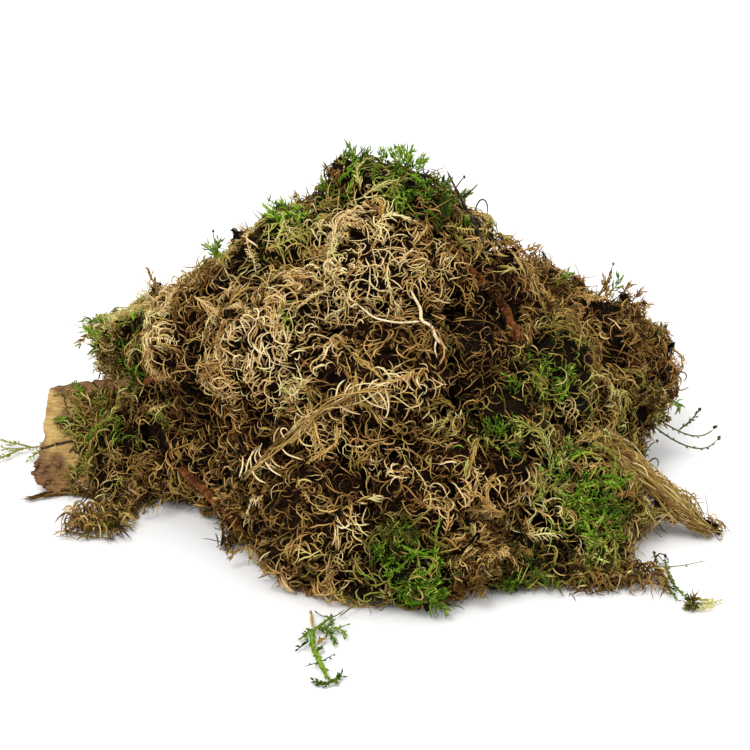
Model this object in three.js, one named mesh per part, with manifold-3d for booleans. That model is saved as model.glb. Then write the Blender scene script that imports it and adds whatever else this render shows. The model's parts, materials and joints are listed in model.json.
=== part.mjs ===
// A clump of dried sphagnum moss, as it lies when it is tipped out on a table.
//
// The clump is a heap of wads. A wad is a tangle of moss that hangs together: a dense middle with
// single curled strands and feather-like shoots standing out of it. Straw-coloured, brown and
// green wads are packed against each other. Leafy green sprigs, a slab of bark, strips of bark,
// a dead twig and a pale rootlet are caught between them.
//
// Units are millimetres and +Z is up. The origin is on the table, under the middle of the heap,
// and the heap's best side faces -Y.

import * as THREE from "three";
import { mergeVertices } from "three/addons/utils/BufferGeometryUtils.js";
import Module from "manifold-3d";

const wasm = await Module();
wasm.setup();

// ---------------------------------------------------------------- driving dimensions

const CLEARANCE = 0.3; // between two pieces that touch
const STRAND_RADIUS = 0.95; // a dried strand with its leaves pressed flat
const STRAND_STRIDE = [7, 12]; // from one bend of a strand to the next
const STRAND_LIFT = [4, 8.5]; // how far a strand's far half stands off its wad
const STRAND_SPACING = 8.4; // between the roots of neighbouring strands on a wad
const STEM_HEIGHT = 2.5; // where a strand's flared root has narrowed down
const TUFT_TIP_HEIGHT = [2.5, 6]; // how far the leaf tips of a green tuft stand out
const ROOT_DEPTH = 2.6; // how far a shoot's or sprig's root is sunk into its wad
const SHOOT_LENGTH = 34; // a feather-like shoot, along its stem
const SHOOT_CURLS = 5; // side curls on one shoot
const SPRIG_RADIUS = 0.8; // the stem of a leafy green sprig
const LEAF = { length: 6.5, width: 2.8, thickness: 1 }; // a leaf on it
const SLAB = { width: 48, height: 40, thickness: 7, lean: 53 }; // the slab of bark, in degrees
const STRIP = { width: 3.4, thickness: 1.2 }; // a strip of bark
const WAD_BLEND = 5; // how softly one wad runs into the next
const WAD_ROUGHNESS = [-3.5, 0]; // how far points of a wad's surface lie off it

const COLOURS = {
  straw: { color: 0xb89355, roughness: 0.85 },
  brown: { color: 0x7d5f3a, roughness: 0.9 },
  olive: { color: 0x7f7c38, roughness: 0.85 },
  green: { color: 0x4f8a1e, roughness: 0.75 },
  bark: { color: 0x8f6a40, roughness: 0.9 },
  rust: { color: 0x7a4630, roughness: 0.9 },
  twig: { color: 0x3a2c22, roughness: 0.9 },
  pale: { color: 0xd8b266, roughness: 0.8 },
  root: { color: 0xdccaa0, roughness: 0.7 },
};

// Each wad: name, middle of the wad, its radius, its colour, and how many feather-like shoots lie
// on it.
const WADS = [
  { name: "wad_crown", at: [-1, 12, 101], radius: 17.5, tone: "olive" },
  { name: "wad_crown_right", at: [26, 14, 89], radius: 16.5, tone: "olive" },
  { name: "wad_shoulder_left", at: [-30, 8, 82], radius: 19, tone: "brown" },
  { name: "wad_face_high", at: [3, -12, 87], radius: 22, tone: "straw" },
  { name: "wad_shoulder_right", at: [37, 8, 70], radius: 20, tone: "brown" },
  { name: "wad_flank_left", at: [-56, 6, 58], radius: 23, tone: "brown" },
  { name: "wad_face_left", at: [-29, -22, 66], radius: 24, tone: "straw", shoots: 1 },
  { name: "wad_face_middle", at: [2, -38, 61], radius: 24, tone: "straw" },
  { name: "wad_face_right", at: [31, -25, 53], radius: 23, tone: "brown" },
  { name: "wad_flank_right", at: [54, 0, 45], radius: 22, tone: "brown" },
  { name: "wad_foot_left", at: [-27, -29, 33], radius: 22, tone: "brown" },
  { name: "wad_foot_front_left", at: [-17, -63, 18], radius: 21, tone: "straw" },
  { name: "wad_foot_front", at: [12, -70, 19], radius: 19, tone: "brown" },
  { name: "wad_foot_middle", at: [29, -46, 32], radius: 22, tone: "straw" },
  { name: "wad_foot_right", at: [57, -30, 17], radius: 21, tone: "brown" },
  { name: "wad_foot_far_right", at: [84, -32, 11], radius: 18, tone: "olive" },
  { name: "wad_wedge", at: [101, -31, 6], radius: 12.5, tone: "straw" },
  { name: "wad_left_low", at: [-72, 12, 18], radius: 20, tone: "brown" },
  { name: "wad_left_lobe", at: [-88, 32, 14], radius: 18, tone: "olive" },
  { name: "wad_left_hump", at: [-84, 45, 38], radius: 20, tone: "brown" },
  { name: "wad_left_tail", at: [-110, 60, 32], radius: 13, tone: "olive" },
  { name: "wad_right_hump", at: [80, 46, 38], radius: 21, tone: "brown" },
  { name: "wad_right_knob", at: [102, 50, 30], radius: 17, tone: "brown" },
  { name: "wad_right_lobe", at: [83, 18, 21], radius: 19, tone: "olive" },
  { name: "wad_back_high", at: [2, 44, 74], radius: 28, tone: "brown" },
  { name: "wad_back_left", at: [-46, 56, 38], radius: 33, tone: "straw" },
  { name: "wad_back_right", at: [44, 58, 36], radius: 32, tone: "brown" },
  { name: "wad_back_foot", at: [0, 82, 26], radius: 29, tone: "olive", shoots: 1 },
  { name: "wad_shed_left", at: [-97, -29, 4], radius: 13, tone: "brown" },
  { name: "wad_shed_right", at: [78, -71, 3], radius: 12, tone: "brown" },
];

// Tufts: small wads of leaf tips, with a few leafy sprigs. They are green unless they say otherwise.
const TUFTS = [
  { name: "green_tuft_crown", at: [14, -2, 109], radius: 9, sprigs: 1 },
  { name: "green_tuft_peak", at: [-8, 7, 117.5], radius: 6.5, sprigs: 1 },
  { name: "green_tuft_shoulder", at: [-35, -4, 97.5], radius: 7, sprigs: 1 },
  { name: "green_tuft_face", at: [42, -44, 50], radius: 11, sprigs: 1 },
  { name: "green_tuft_flank", at: [66, -18, 54], radius: 9, sprigs: 1 },
  { name: "green_tuft_front", at: [10, -86, 12], radius: 11, sprigs: 2 },
  { name: "green_tuft_right", at: [73, -46, 18], radius: 12, sprigs: 1 },
  { name: "green_tuft_low", at: [54, -70, 5], radius: 8, sprigs: 1 },
  { name: "green_tuft_left_high", at: [-84, 22, 50], radius: 9, sprigs: 1 },
  { name: "olive_tuft_left_low", at: [-93, 2, 17], radius: 11, sprigs: 1, tone: "olive" },
];

// ---------------------------------------------------------------- seeded chance

function chanceFrom(text) {
  let state = 2166136261;
  for (const letter of text) {
    state = Math.imul(state ^ letter.charCodeAt(0), 16777619);
  }
  const next = () => {
    state = (state + 0x6d2b79f5) | 0;
    let t = Math.imul(state ^ (state >>> 15), 1 | state);
    t = (t + Math.imul(t ^ (t >>> 7), 61 | t)) ^ t;
    return ((t ^ (t >>> 14)) >>> 0) / 4294967296;
  };
  next.between = (low, high) => low + (high - low) * next();
  next.direction = () => {
    const z = next.between(-1, 1);
    const turn = next.between(0, 2 * Math.PI);
    const flat = Math.sqrt(1 - z * z);
    return new THREE.Vector3(flat * Math.cos(turn), flat * Math.sin(turn), z);
  };
  return next;
}

// ---------------------------------------------------------------- solids

function withoutExtras(geometry) {
  const bare = geometry.clone();
  bare.deleteAttribute("normal");
  bare.deleteAttribute("uv");
  return bare;
}

// A closed three.js geometry as a manifold-3d solid.
function solidOf(geometry) {
  const merged = mergeVertices(withoutExtras(geometry), 1e-4);
  return new wasm.Manifold(
    new wasm.Mesh({
      numProp: 3,
      vertProperties: merged.attributes.position.array,
      triVerts: new Uint32Array(merged.index.array),
    }),
  );
}

function geometryOf(solid) {
  const mesh = solid.getMesh();
  const points = new Float32Array(mesh.numVert * 3);
  for (let i = 0; i < mesh.numVert; i += 1) {
    points.set(mesh.vertProperties.subarray(i * mesh.numProp, i * mesh.numProp + 3), i * 3);
    points[i * 3 + 2] = Math.max(points[i * 3 + 2], 0);
  }
  const geometry = new THREE.BufferGeometry();
  geometry.setAttribute("position", new THREE.BufferAttribute(points, 3));
  geometry.setIndex(new THREE.BufferAttribute(mesh.triVerts, 1));
  geometry.computeVertexNormals();
  return geometry;
}

// The largest body of a solid. Scraps that a cut left loose are dropped.
function largestBody(solid) {
  const bodies = solid.decompose();
  return bodies.reduce((best, body) => (body.volume() > best.volume() ? body : best));
}

function moveVertices(geometry, place) {
  const position = geometry.attributes.position;
  const point = new THREE.Vector3();
  for (let i = 0; i < position.count; i += 1) {
    point.fromBufferAttribute(position, i);
    place(point);
    position.setXYZ(i, point.x, point.y, point.z);
  }
  return geometry;
}

// ---------------------------------------------------------------- strands and leaves

// The direction of a route of points at each of them.
function directionsAlong(points) {
  return points.map((point, i) => {
    const before = points[Math.max(i - 1, 0)];
    const after = points[Math.min(i + 1, points.length - 1)];
    return after.clone().sub(before).normalize();
  });
}

// Turns arms that stand square to one direction until they stand square to another.
function swing(arms, from, to) {
  const bend = new THREE.Quaternion().setFromUnitVectors(from, to);
  for (const arm of arms) {
    arm.applyQuaternion(bend);
    arm.addScaledVector(to, -arm.dot(to)).normalize();
  }
}

// A tapering strand along the points: a cone whose height runs along them. It is thickest near
// its root and ends in a point.
function strand(points, radius, sides = 3) {
  const steps = points.length - 1;
  const directions = directionsAlong(points);
  const arms = [new THREE.Vector3(1, 0, 0), new THREE.Vector3(0, 0, 1)];
  const frames = directions.map((direction, i) => {
    swing(arms, i ? directions[i - 1] : new THREE.Vector3(0, 1, 0), direction);
    return arms.map((arm) => arm.clone());
  });
  const cone = new THREE.ConeGeometry(1, 1, sides, steps);
  moveVertices(cone, (p) => {
    const share = THREE.MathUtils.clamp(p.y + 0.5, 0, 1);
    const k = Math.round(share * steps);
    const around = p.clone().setY(0);
    const thick = around.length() < 1e-6 ? 0 : radius * (1 - 0.55 * share);
    around.normalize();
    p.copy(points[k]);
    p.addScaledVector(frames[k][0], thick * around.x);
    p.addScaledVector(frames[k][1], thick * around.z);
  });
  return solidOf(cone);
}

// A leaf: an eight-faced spindle, from its base on the stem to its tip.
function leaf(base, towards, extra = 0) {
  const blade = new THREE.OctahedronGeometry(1);
  const along = towards.clone().normalize();
  const side = new THREE.Vector3(0.3, 0.2, 1).cross(along).normalize();
  const face = side.clone().cross(along);
  moveVertices(blade, (p) => {
    const { x, y, z } = p;
    p.copy(base);
    p.addScaledVector(along, y * (LEAF.length / 2 + extra) + LEAF.length * 0.45);
    p.addScaledVector(side, x * (LEAF.width / 2 + extra));
    p.addScaledVector(face, z * (LEAF.thickness / 2 + extra));
  });
  return solidOf(blade);
}

// ---------------------------------------------------------------- how the wads share the heap

// Every wad has the part of space that is nearer to it than to the others, counted from their
// radii. Such a cell is convex, so what keeps its points inside it can't cross a neighbour.
const cells = [...WADS, ...TUFTS].map((wad) => ({
  ...wad,
  middle: new THREE.Vector3(...wad.at),
  chance: chanceFrom(wad.name),
}));

for (const cell of cells) {
  const others = cells.filter((other) => other !== cell);
  cell.walls = others.map((other) => {
    const outward = other.middle.clone().sub(cell.middle);
    const apart = outward.length();
    outward.divideScalar(apart);
    const distance = (apart ** 2 + cell.radius ** 2 - other.radius ** 2) / (2 * apart);
    return { outward, distance };
  });
  if (cell.walls.some((wall) => wall.distance < 1.5)) {
    throw new Error(cell.name + " is swallowed by a neighbour: move it or change its radius");
  }
}

// How far a wad may reach in a direction before it meets a neighbour's cell or the table.
function roomFor(cell, direction, margin, tableMargin) {
  let room = Infinity;
  for (const wall of cell.walls) {
    const slope = wall.outward.dot(direction);
    if (slope > 1e-6) room = Math.min(room, (wall.distance - margin) / slope);
  }
  if (direction.z < -1e-6) {
    room = Math.min(room, (cell.middle.z - tableMargin) / -direction.z);
  }
  return room;
}

// The heap as one soft shape: below zero inside it. The wads run into each other softly, and the
// hill inside them is filled with moss too. A wad at the foot spreads downwards like a skirt.
function heapField(point) {
  const height = Math.max(point.z, 0);
  const hill = Math.hypot(point.x * 0.8, point.y - 6) - 66 * (1 - (height / 104) ** 2);
  let sum = Math.exp((-0.7 * hill) / WAD_BLEND);
  for (const cell of cells) {
    const { x, y, z } = cell.middle;
    const rise = point.z - z;
    const skirt = rise < 0 && z < 1.6 * cell.radius ? 0.35 : 1;
    const away = Math.hypot(point.x - x, point.y - y, rise * skirt) - cell.radius;
    if (away < 5 * WAD_BLEND) sum += Math.exp(-away / WAD_BLEND);
  }
  return -WAD_BLEND * Math.log(sum);
}

// How far it is from a wad's middle to the open air in a direction.
function freeReach(cell, direction) {
  const point = new THREE.Vector3();
  const fieldAt = (reach) => heapField(point.copy(cell.middle).addScaledVector(direction, reach));
  let reach = cell.radius * 0.6;
  for (let step = 0; step < 24; step += 1) {
    const field = fieldAt(reach);
    if (field > -0.05) break;
    reach += THREE.MathUtils.clamp(-field * 0.8, 0.3, 10);
  }
  return reach;
}

function surfaceReach(cell, direction) {
  const room = roomFor(cell, direction, CLEARANCE / 2, 0);
  return Math.min(freeReach(cell, direction), room);
}

// A point that stands off the wad's surface by a height, kept inside the wad's own cell.
function pointOff(cell, direction, height, thickness) {
  const reach = surfaceReach(cell, direction) + height;
  const room = roomFor(cell, direction, thickness + CLEARANCE / 2, thickness);
  return cell.middle.clone().addScaledVector(direction, Math.min(reach, room));
}

function keptInside(cell, point, thickness) {
  const direction = point.clone().sub(cell.middle);
  const distance = direction.length();
  direction.divideScalar(distance);
  const room = roomFor(cell, direction, thickness + CLEARANCE / 2, thickness);
  return cell.middle.clone().addScaledVector(direction, Math.min(distance, room));
}

function isOpen(cell, direction) {
  return roomFor(cell, direction, 1.5, 2.5) > freeReach(cell, direction);
}

// ---------------------------------------------------------------- what grows on a wad

// A route over a wad: it starts above or below the surface at the root, and then turns by curl
// at every step. Where the next point would leave the wad's cell, it turns back.
function routeOver(cell, root, { stride, heights, curl, thickness }) {
  const heading = cell.chance.direction().cross(root).normalize();
  const points = [pointOff(cell, root, heights[0], thickness)];
  let direction = root;
  for (const height of heights.slice(1)) {
    const step = stride / points.at(-1).distanceTo(cell.middle);
    let next = null;
    for (let turn = 0; turn < 6 && !next; turn += 1) {
      heading.applyAxisAngle(direction, turn ? 1 : curl);
      const ahead = direction.clone().addScaledVector(heading, step).normalize();
      const room = roomFor(cell, ahead, thickness + CLEARANCE / 2, thickness);
      if (freeReach(cell, ahead) + height < room) next = ahead;
    }
    if (!next) break;
    direction = next;
    heading.addScaledVector(direction, -heading.dot(direction)).normalize();
    points.push(pointOff(cell, direction, height, thickness));
  }
  return points;
}

// The dense middle of a wad: a rough ball that fills its cell up to the surface of the heap.
function middleOf(cell, detail) {
  const ball = mergeVertices(withoutExtras(new THREE.IcosahedronGeometry(1, detail)), 1e-4);
  return moveVertices(ball, (p) => {
    p.normalize();
    const reach = freeReach(cell, p) + cell.chance.between(...WAD_ROUGHNESS);
    p.multiplyScalar(Math.min(reach, roomFor(cell, p, CLEARANCE / 2, 0))).add(cell.middle);
  });
}

// A facet with its corners, which are points that neighbouring facets share, and its bounds.
function facetOf(...corners) {
  return { corners, box: new THREE.Box3().setFromPoints(corners) };
}

// Whether an edge of one facet passes through the other. Edges that end in a shared corner don't.
function pierces(one, other) {
  const hit = new THREE.Vector3();
  return one.corners.some((from, k) => {
    const to = one.corners[(k + 1) % 3];
    if (other.corners.includes(from) || other.corners.includes(to)) return false;
    const ray = new THREE.Ray(from, to.clone().sub(from).normalize());
    const found = ray.intersectTriangle(...other.corners, false, hit);
    return found !== null && hit.distanceTo(from) < to.distanceTo(from) + 0.05;
  });
}

function crosses(one, other) {
  return one.box.intersectsBox(other.box) && (pierces(one, other) || pierces(other, one));
}

// The facets of a strand that is drawn out of a facet: it has a flared root, narrows, climbs off
// the surface, curls over and ends in a point.
function strandFrom(cell, corners, isShort) {
  const { chance } = cell;
  const foot = corners[0].clone().add(corners[1]).add(corners[2]).divideScalar(3);
  const root = foot.clone().sub(cell.middle).normalize();
  if (!isOpen(cell, root)) return [];
  const lift = chance.between(...STRAND_LIFT);
  const thickness = STRAND_RADIUS * chance.between(0.8, 1.2);
  const route = routeOver(cell, root, {
    stride: isShort ? chance.between(3, 6) : chance.between(...STRAND_STRIDE),
    heights: isShort ? [STEM_HEIGHT, lift] : [STEM_HEIGHT, lift, lift * chance.between(0.5, 1.5)],
    curl: chance.between(-1.1, 1.1),
    thickness,
  });
  if (route.length < (isShort ? 2 : 3)) return [];

  const knots = [foot, ...route];
  const directions = directionsAlong(knots);
  const spokes = corners.map((corner) => corner.clone().sub(foot).normalize());
  const upright = spokes[0].clone().cross(spokes[1]).normalize();
  const facets = [];
  let lower = corners;
  for (let i = 1; i < knots.length - 1; i += 1) {
    swing(spokes, i > 1 ? directions[i - 1] : upright, directions[i]);
    const width = thickness * (i > 1 ? 1 : 1.35);
    const upper = spokes.map((spoke) => knots[i].clone().addScaledVector(spoke, width));
    for (let k = 0; k < 3; k += 1) {
      const next = (k + 1) % 3;
      facets.push(facetOf(lower[k], lower[next], upper[next]));
      facets.push(facetOf(lower[k], upper[next], upper[k]));
    }
    lower = upper;
  }
  for (let k = 0; k < 3; k += 1) facets.push(facetOf(lower[k], lower[(k + 1) % 3], knots.at(-1)));
  return facets;
}

// The wad's middle with facets of its open side drawn out into strands: long curled ones first,
// and then short ones between them. A strand that would cross what is there is left out.
function strandedMiddle(cell) {
  const ball = geometryOf(solidOf(middleOf(cell, cell.radius < 17 ? 1 : 2)).simplify(0.05));
  const spacing = Math.min(STRAND_SPACING, cell.radius / 2);
  const points = [];
  for (let i = 0; i < ball.attributes.position.count; i += 1) {
    points.push(new THREE.Vector3().fromBufferAttribute(ball.attributes.position, i));
  }
  let surface = [];
  for (let f = 0; f < ball.index.count; f += 3) {
    surface.push(facetOf(...[0, 1, 2].map((k) => points[ball.index.getX(f + k)])));
  }
  const roots = [];
  for (const isShort of [false, true]) {
    for (const facet of [...surface]) {
      const [a, b, c] = facet.corners;
      if (roots.some((root) => root.distanceTo(a) < spacing)) continue;
      const strandFacets = strandFrom(cell, [a, b, c], isShort);
      const others = surface.filter((other) => other !== facet);
      const isClear = strandFacets.every((one) =>
        [...others, ...strandFacets].every((other) => !crosses(one, other)),
      );
      if (strandFacets.length && isClear) {
        surface = [...others, ...strandFacets];
        roots.push(a);
      }
    }
  }
  return solidOf(
    new THREE.BufferGeometry().setFromPoints(surface.flatMap((facet) => facet.corners)),
  );
}

// Whether a curl of three points has two long legs and no sharp bend between them.
function isGentle([start, bend, end]) {
  const first = bend.clone().sub(start);
  const last = end.clone().sub(bend);
  return last.length() > 2.5 && first.dot(last) > 0.35 * first.length() * last.length();
}

// A feather-like shoot: a stem that lies along the wad, with curls on both sides of it.
function growShoot(cell, root) {
  const points = routeOver(cell, root, {
    stride: SHOOT_LENGTH / 4,
    heights: [-ROOT_DEPTH, 4, 5.5, 5.5, 5],
    curl: cell.chance.between(-0.25, 0.25),
    thickness: STRAND_RADIUS,
  });
  if (points.length < 5 || !isGentle(points.slice(0, 3)) || !isGentle(points.slice(2))) return [];
  const stem = new THREE.CatmullRomCurve3(points);
  const parts = [strand(points, STRAND_RADIUS * 1.25)];
  for (let i = 0; i < SHOOT_CURLS; i += 1) {
    const share = 0.3 + (0.58 * i) / (SHOOT_CURLS - 1);
    const from = stem.getPoint(share);
    const along = stem.getTangent(share);
    const up = from.clone().sub(cell.middle).normalize();
    const side = along.clone().cross(up).setLength(i % 2 ? 1 : -1);
    const reach = cell.chance.between(6, 9);
    const curl = [0, 0.5, 1].map((s) => {
      const point = from.clone().addScaledVector(side, reach * Math.sin(s * 1.3));
      point.addScaledVector(along, reach * 0.8 * s * s);
      point.addScaledVector(up, reach * 0.35 * Math.sin(s * Math.PI));
      return keptInside(cell, point, STRAND_RADIUS);
    });
    if (isGentle(curl)) parts.push(strand(curl, STRAND_RADIUS * 0.8));
  }
  return parts;
}

function growWad(cell) {
  const parts = [strandedMiddle(cell)];
  const roots = rootsOn(cell, SHOOT_LENGTH * 0.4);
  let wanted = cell.shoots ?? 0;
  for (const root of roots) {
    const shoot = wanted ? growShoot(cell, root) : [];
    if (shoot.length) wanted -= 1;
    parts.push(...shoot);
  }
  return wasm.Manifold.union(parts);
}

// Directions in which a wad is open to the air, evenly spaced like the seeds of a sunflower.
function rootsOn(cell, spacing) {
  const count = Math.round((4 * Math.PI * cell.radius ** 2) / spacing ** 2);
  const golden = Math.PI * (3 - Math.sqrt(5));
  const found = [];
  for (let i = 0; i < count; i += 1) {
    const z = 1 - (2 * (i + 0.5)) / count;
    const flat = Math.sqrt(1 - z * z);
    const root = new THREE.Vector3(flat * Math.cos(golden * i), flat * Math.sin(golden * i), z);
    if (isOpen(cell, root)) found.push(root);
  }
  return found.sort((one, other) => one.y - other.y);
}

// A leafy sprig: a stem with leaves that stand out of it on all sides, cut off at the table.
function sprig(route, { leaves, chance, extra = 0 }) {
  const stem = new THREE.CatmullRomCurve3(route);
  const parts = [strand(route, SPRIG_RADIUS + extra)];
  for (let i = 0; i < leaves; i += 1) {
    const share = 0.3 + (0.66 * (i + 0.5)) / leaves;
    const along = stem.getTangent(share);
    const outward = chance.direction();
    outward.addScaledVector(along, -outward.dot(along)).normalize();
    parts.push(leaf(stem.getPoint(share), outward.addScaledVector(along, 0.9), extra));
  }
  return wasm.Manifold.union(parts).trimByPlane([0, 0, 1], 0);
}

// A green tuft: a small wad whose surface is drawn out into leaf tips, no two side by side.
function growTuft(cell) {
  const ball = mergeVertices(withoutExtras(new THREE.IcosahedronGeometry(1, 2)), 1e-4);
  const tips = [];
  moveVertices(ball, (p) => {
    p.normalize();
    const isTip = tips.every((tip) => tip.distanceTo(p) > 0.45) && isOpen(cell, p);
    if (isTip) tips.push(p.clone());
    const rise = isTip ? cell.chance.between(...TUFT_TIP_HEIGHT) : cell.chance.between(-2.5, 0);
    const reach = freeReach(cell, p) + rise;
    p.multiplyScalar(Math.min(reach, roomFor(cell, p, CLEARANCE / 2, 0))).add(cell.middle);
  });
  const parts = [solidOf(ball).simplify(0.05)];
  for (const root of tips.slice(0, 12)) {
    if (parts.length > cell.sprigs) break;
    const points = routeOver(cell, root, {
      stride: 5,
      heights: [-ROOT_DEPTH, 5, 8, 9],
      curl: cell.chance.between(-0.4, 0.4),
      thickness: 1.4,
    });
    if (points.length > 3) parts.push(sprig(points, { leaves: 4, chance: cell.chance }));
  }
  return wasm.Manifold.union(parts);
}

// ---------------------------------------------------------------- pieces caught in the heap

// A point of the heap's front at an x and z, or that far in front of it.
function onFront(x, z, standOff) {
  const point = new THREE.Vector3(x, -130, z);
  while (heapField(point) > 0) point.y += 0.5;
  point.y -= standOff;
  return point;
}

const laidOnFront = (route, standOff) => route.map(([x, z]) => onFront(x, z, standOff));
const onTable = (route, height) => route.map(([x, y], i) => new THREE.Vector3(x, y, height[i % 3]));

// A slab of bark that leans back against the left lobe, with its foot on the table.
function barkSlab(extra) {
  const { width, height, thickness, lean } = SLAB;
  const outline = new THREE.Shape();
  const corners = [
    [-0.56, -0.4], [-0.46, -0.56], [0.1, -0.5], [0.5, -0.42], [0.5, 0.4], [0.2, 0.5], [-0.2, 0.47], [-0.46, 0.4],
    [-0.5, -0.1],
  ];
  outline.setFromPoints(corners.map(([x, y]) => new THREE.Vector2(x * width, y * height)));
  const slab = new THREE.ExtrudeGeometry(outline, {
    depth: thickness - 2 + 2 * extra,
    steps: 2,
    bevelThickness: 1,
    bevelSize: 1 + extra,
    bevelSegments: 1,
  });
  const upright = THREE.MathUtils.degToRad(lean);
  moveVertices(slab, (p) => {
    p.z += 0.9 * Math.sin(p.x * 0.24 + 1) + 0.6 * Math.sin(p.y * 0.3) - thickness / 2 - extra + 1;
    p.applyAxisAngle(new THREE.Vector3(1, 0, 0), upright);
    p.add(new THREE.Vector3(-98, 10, 18.5));
    p.z = Math.max(p.z, 0);
  });
  return solidOf(slab);
}

// A flat strip of bark along a route, wider than it is thick.
function barkStrip(route, extra) {
  const outline = new THREE.Shape();
  const wide = STRIP.width / 2 + extra;
  const thick = STRIP.thickness / 2 + extra;
  outline.setFromPoints([
    new THREE.Vector2(-thick, -wide * 0.8),
    new THREE.Vector2(thick, -wide),
    new THREE.Vector2(thick * 0.6, wide),
    new THREE.Vector2(-thick, wide * 0.7),
  ]);
  const path = new THREE.CatmullRomCurve3(laidOnFront(route, 1.5));
  return solidOf(
    new THREE.ExtrudeGeometry(outline, { steps: 7, bevelEnabled: false, extrudePath: path }),
  );
}

function paleRootlet(extra) {
  const main = laidOnFront([[12, 88], [16, 84], [15, 80], [19, 78], [21, 74], [24, 70]], 6);
  const side = laidOnFront([[-5, 86], [1, 83], [8, 82], [15, 80]], 6);
  side[3].copy(main[2]);
  return wasm.Manifold.union([strand(main, 1 + extra), strand(side.reverse(), 0.8 + extra)]);
}

// The longest feather-like shoot, which lies across the front of the heap.
function paleShoot(extra) {
  const chance = chanceFrom("pale shoot");
  const points = laidOnFront([[-46, 30], [-36, 41], [-24, 51], [-10, 58], [6, 62], [14, 64]], 6);
  const stem = new THREE.CatmullRomCurve3(points);
  const parts = [strand(points, 1.8 + extra)];
  for (let i = 0; i < 10; i += 1) {
    const share = 0.14 + (0.8 * i) / 9;
    const from = stem.getPoint(share);
    const along = stem.getTangent(share);
    const side = along.clone().cross(new THREE.Vector3(0, -1, 0.4)).setLength(i % 2 ? 1 : -1);
    const reach = chance.between(10, 14);
    const curl = [0, 0.5, 1].map((s) => {
      const point = from.clone().addScaledVector(side, reach * Math.sin(s * 1.5));
      point.addScaledVector(along, reach * (0.7 * s * s - 0.2 * s));
      point.y -= reach * 0.25 * Math.sin(s * Math.PI);
      return point;
    });
    parts.push(strand(curl, 1.15 + extra));
  }
  return wasm.Manifold.union(parts);
}

function deadTwig(extra) {
  const route = [[38, -6, 97], [35, -2, 103], [30, 7, 110], [25, 13, 119]];
  const points = route.map((at) => new THREE.Vector3(...at));
  const stub = [points[2], new THREE.Vector3(34, 4, 114), new THREE.Vector3(36, 3, 117)];
  return wasm.Manifold.union([strand(points, 1.9 + extra, 5), strand(stub, 1.1 + extra)]);
}

// A green sprig that lies on the table: its stem's x and y.
function sprigOnTable(name, route, leaves, extra, height = [2.6, 3, 2.4]) {
  return sprig(onTable(route, height), { leaves, chance: chanceFrom(name), extra });
}

const LOOSE_PIECES = [
  ["bark_slab", "bark", barkSlab],
  ["bark_strip_right", "rust", (e) => barkStrip([[24, 100], [28, 95], [35, 87], [43, 80], [49, 70]], e)],
  ["bark_strip_left", "rust", (e) => barkStrip([[-68, 22], [-60, 19], [-50, 14], [-44, 8]], e)],
  ["bark_strip_lobe", "rust", (e) => barkStrip([[-84, 40], [-78, 46], [-70, 50]], e)],
  ["dead_twig", "twig", deadTwig],
  ["pale_rootlet", "root", paleRootlet],
  ["pale_shoot", "pale", paleShoot],
  [
    "green_sprig_front", "green",
    (e) => sprigOnTable("front", [[2, -84], [-9, -93], [-18, -108], [-14, -124], [-16, -139]], 14, e),
  ],
  [
    "green_sprig_left", "green",
    (e) => sprigOnTable("left", [[-98, 36], [-114, 38], [-128, 38], [-138, 34], [-145, 40]], 7, e),
  ],
  [
    "green_sprig_trailing", "green",
    (e) => sprigOnTable("trailing", [[84, -64], [93, -66], [98, -77], [101, -87], [113, -88]], 12, e),
  ],
  [
    "green_sprig_right", "green",
    (e) => sprigOnTable("right", [[100, 36], [108, 33], [117, 33], [125, 34], [131, 34]], 6, e, [20, 15, 9]),
  ],
];

// ---------------------------------------------------------------- the clump

const clump = new THREE.Group();
clump.name = "sphagnum_moss_clump";

// Each piece leaves room for the pieces after it that are caught in it.
const pieces = [
  ...cells.map((cell) => ({
    name: cell.name,
    tone: cell.tone ?? "green",
    solid: cell.sprigs ? growTuft(cell) : growWad(cell),
  })),
  ...LOOSE_PIECES.map(([name, tone, make]) => ({
    name,
    tone,
    solid: make(0),
    room: make(CLEARANCE + 0.05),
  })),
];

pieces.forEach(({ name, tone, solid }, i) => {
  const rooms = pieces.slice(i + 1).flatMap((other) => other.room ?? []);
  const freed = rooms.reduce((left, room) => left.subtract(room), solid);
  const material = new THREE.MeshStandardMaterial({ ...COLOURS[tone], metalness: 0 });
  const mesh = new THREE.Mesh(geometryOf(largestBody(freed)), material);
  mesh.name = name;
  clump.add(mesh);
});

export default clump;
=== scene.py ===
# %% [markdown]
# # A clump of dried sphagnum moss
#
# The real clump is a heap of thousands of dry strands, under a millimetre thick, curled and tangled into
# wads. Among them are feather-like shoots, green leafy tufts, bark, a twig and a root thread.
# The wads' size and place come from a fixed frame of solids. Here each solid is dressed: a dark bed that
# keeps its form, and strands that grow over it.
#
# The first cell loads the frame.
# It also seeds Blender's noise, whose vectors would otherwise differ from run to run.

# %% Load the frame
import json
import math
import random

import bmesh
import bpy
import numpy as np
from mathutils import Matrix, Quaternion, Vector, kdtree, noise
from mathutils.bvhtree import BVHTree


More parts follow.
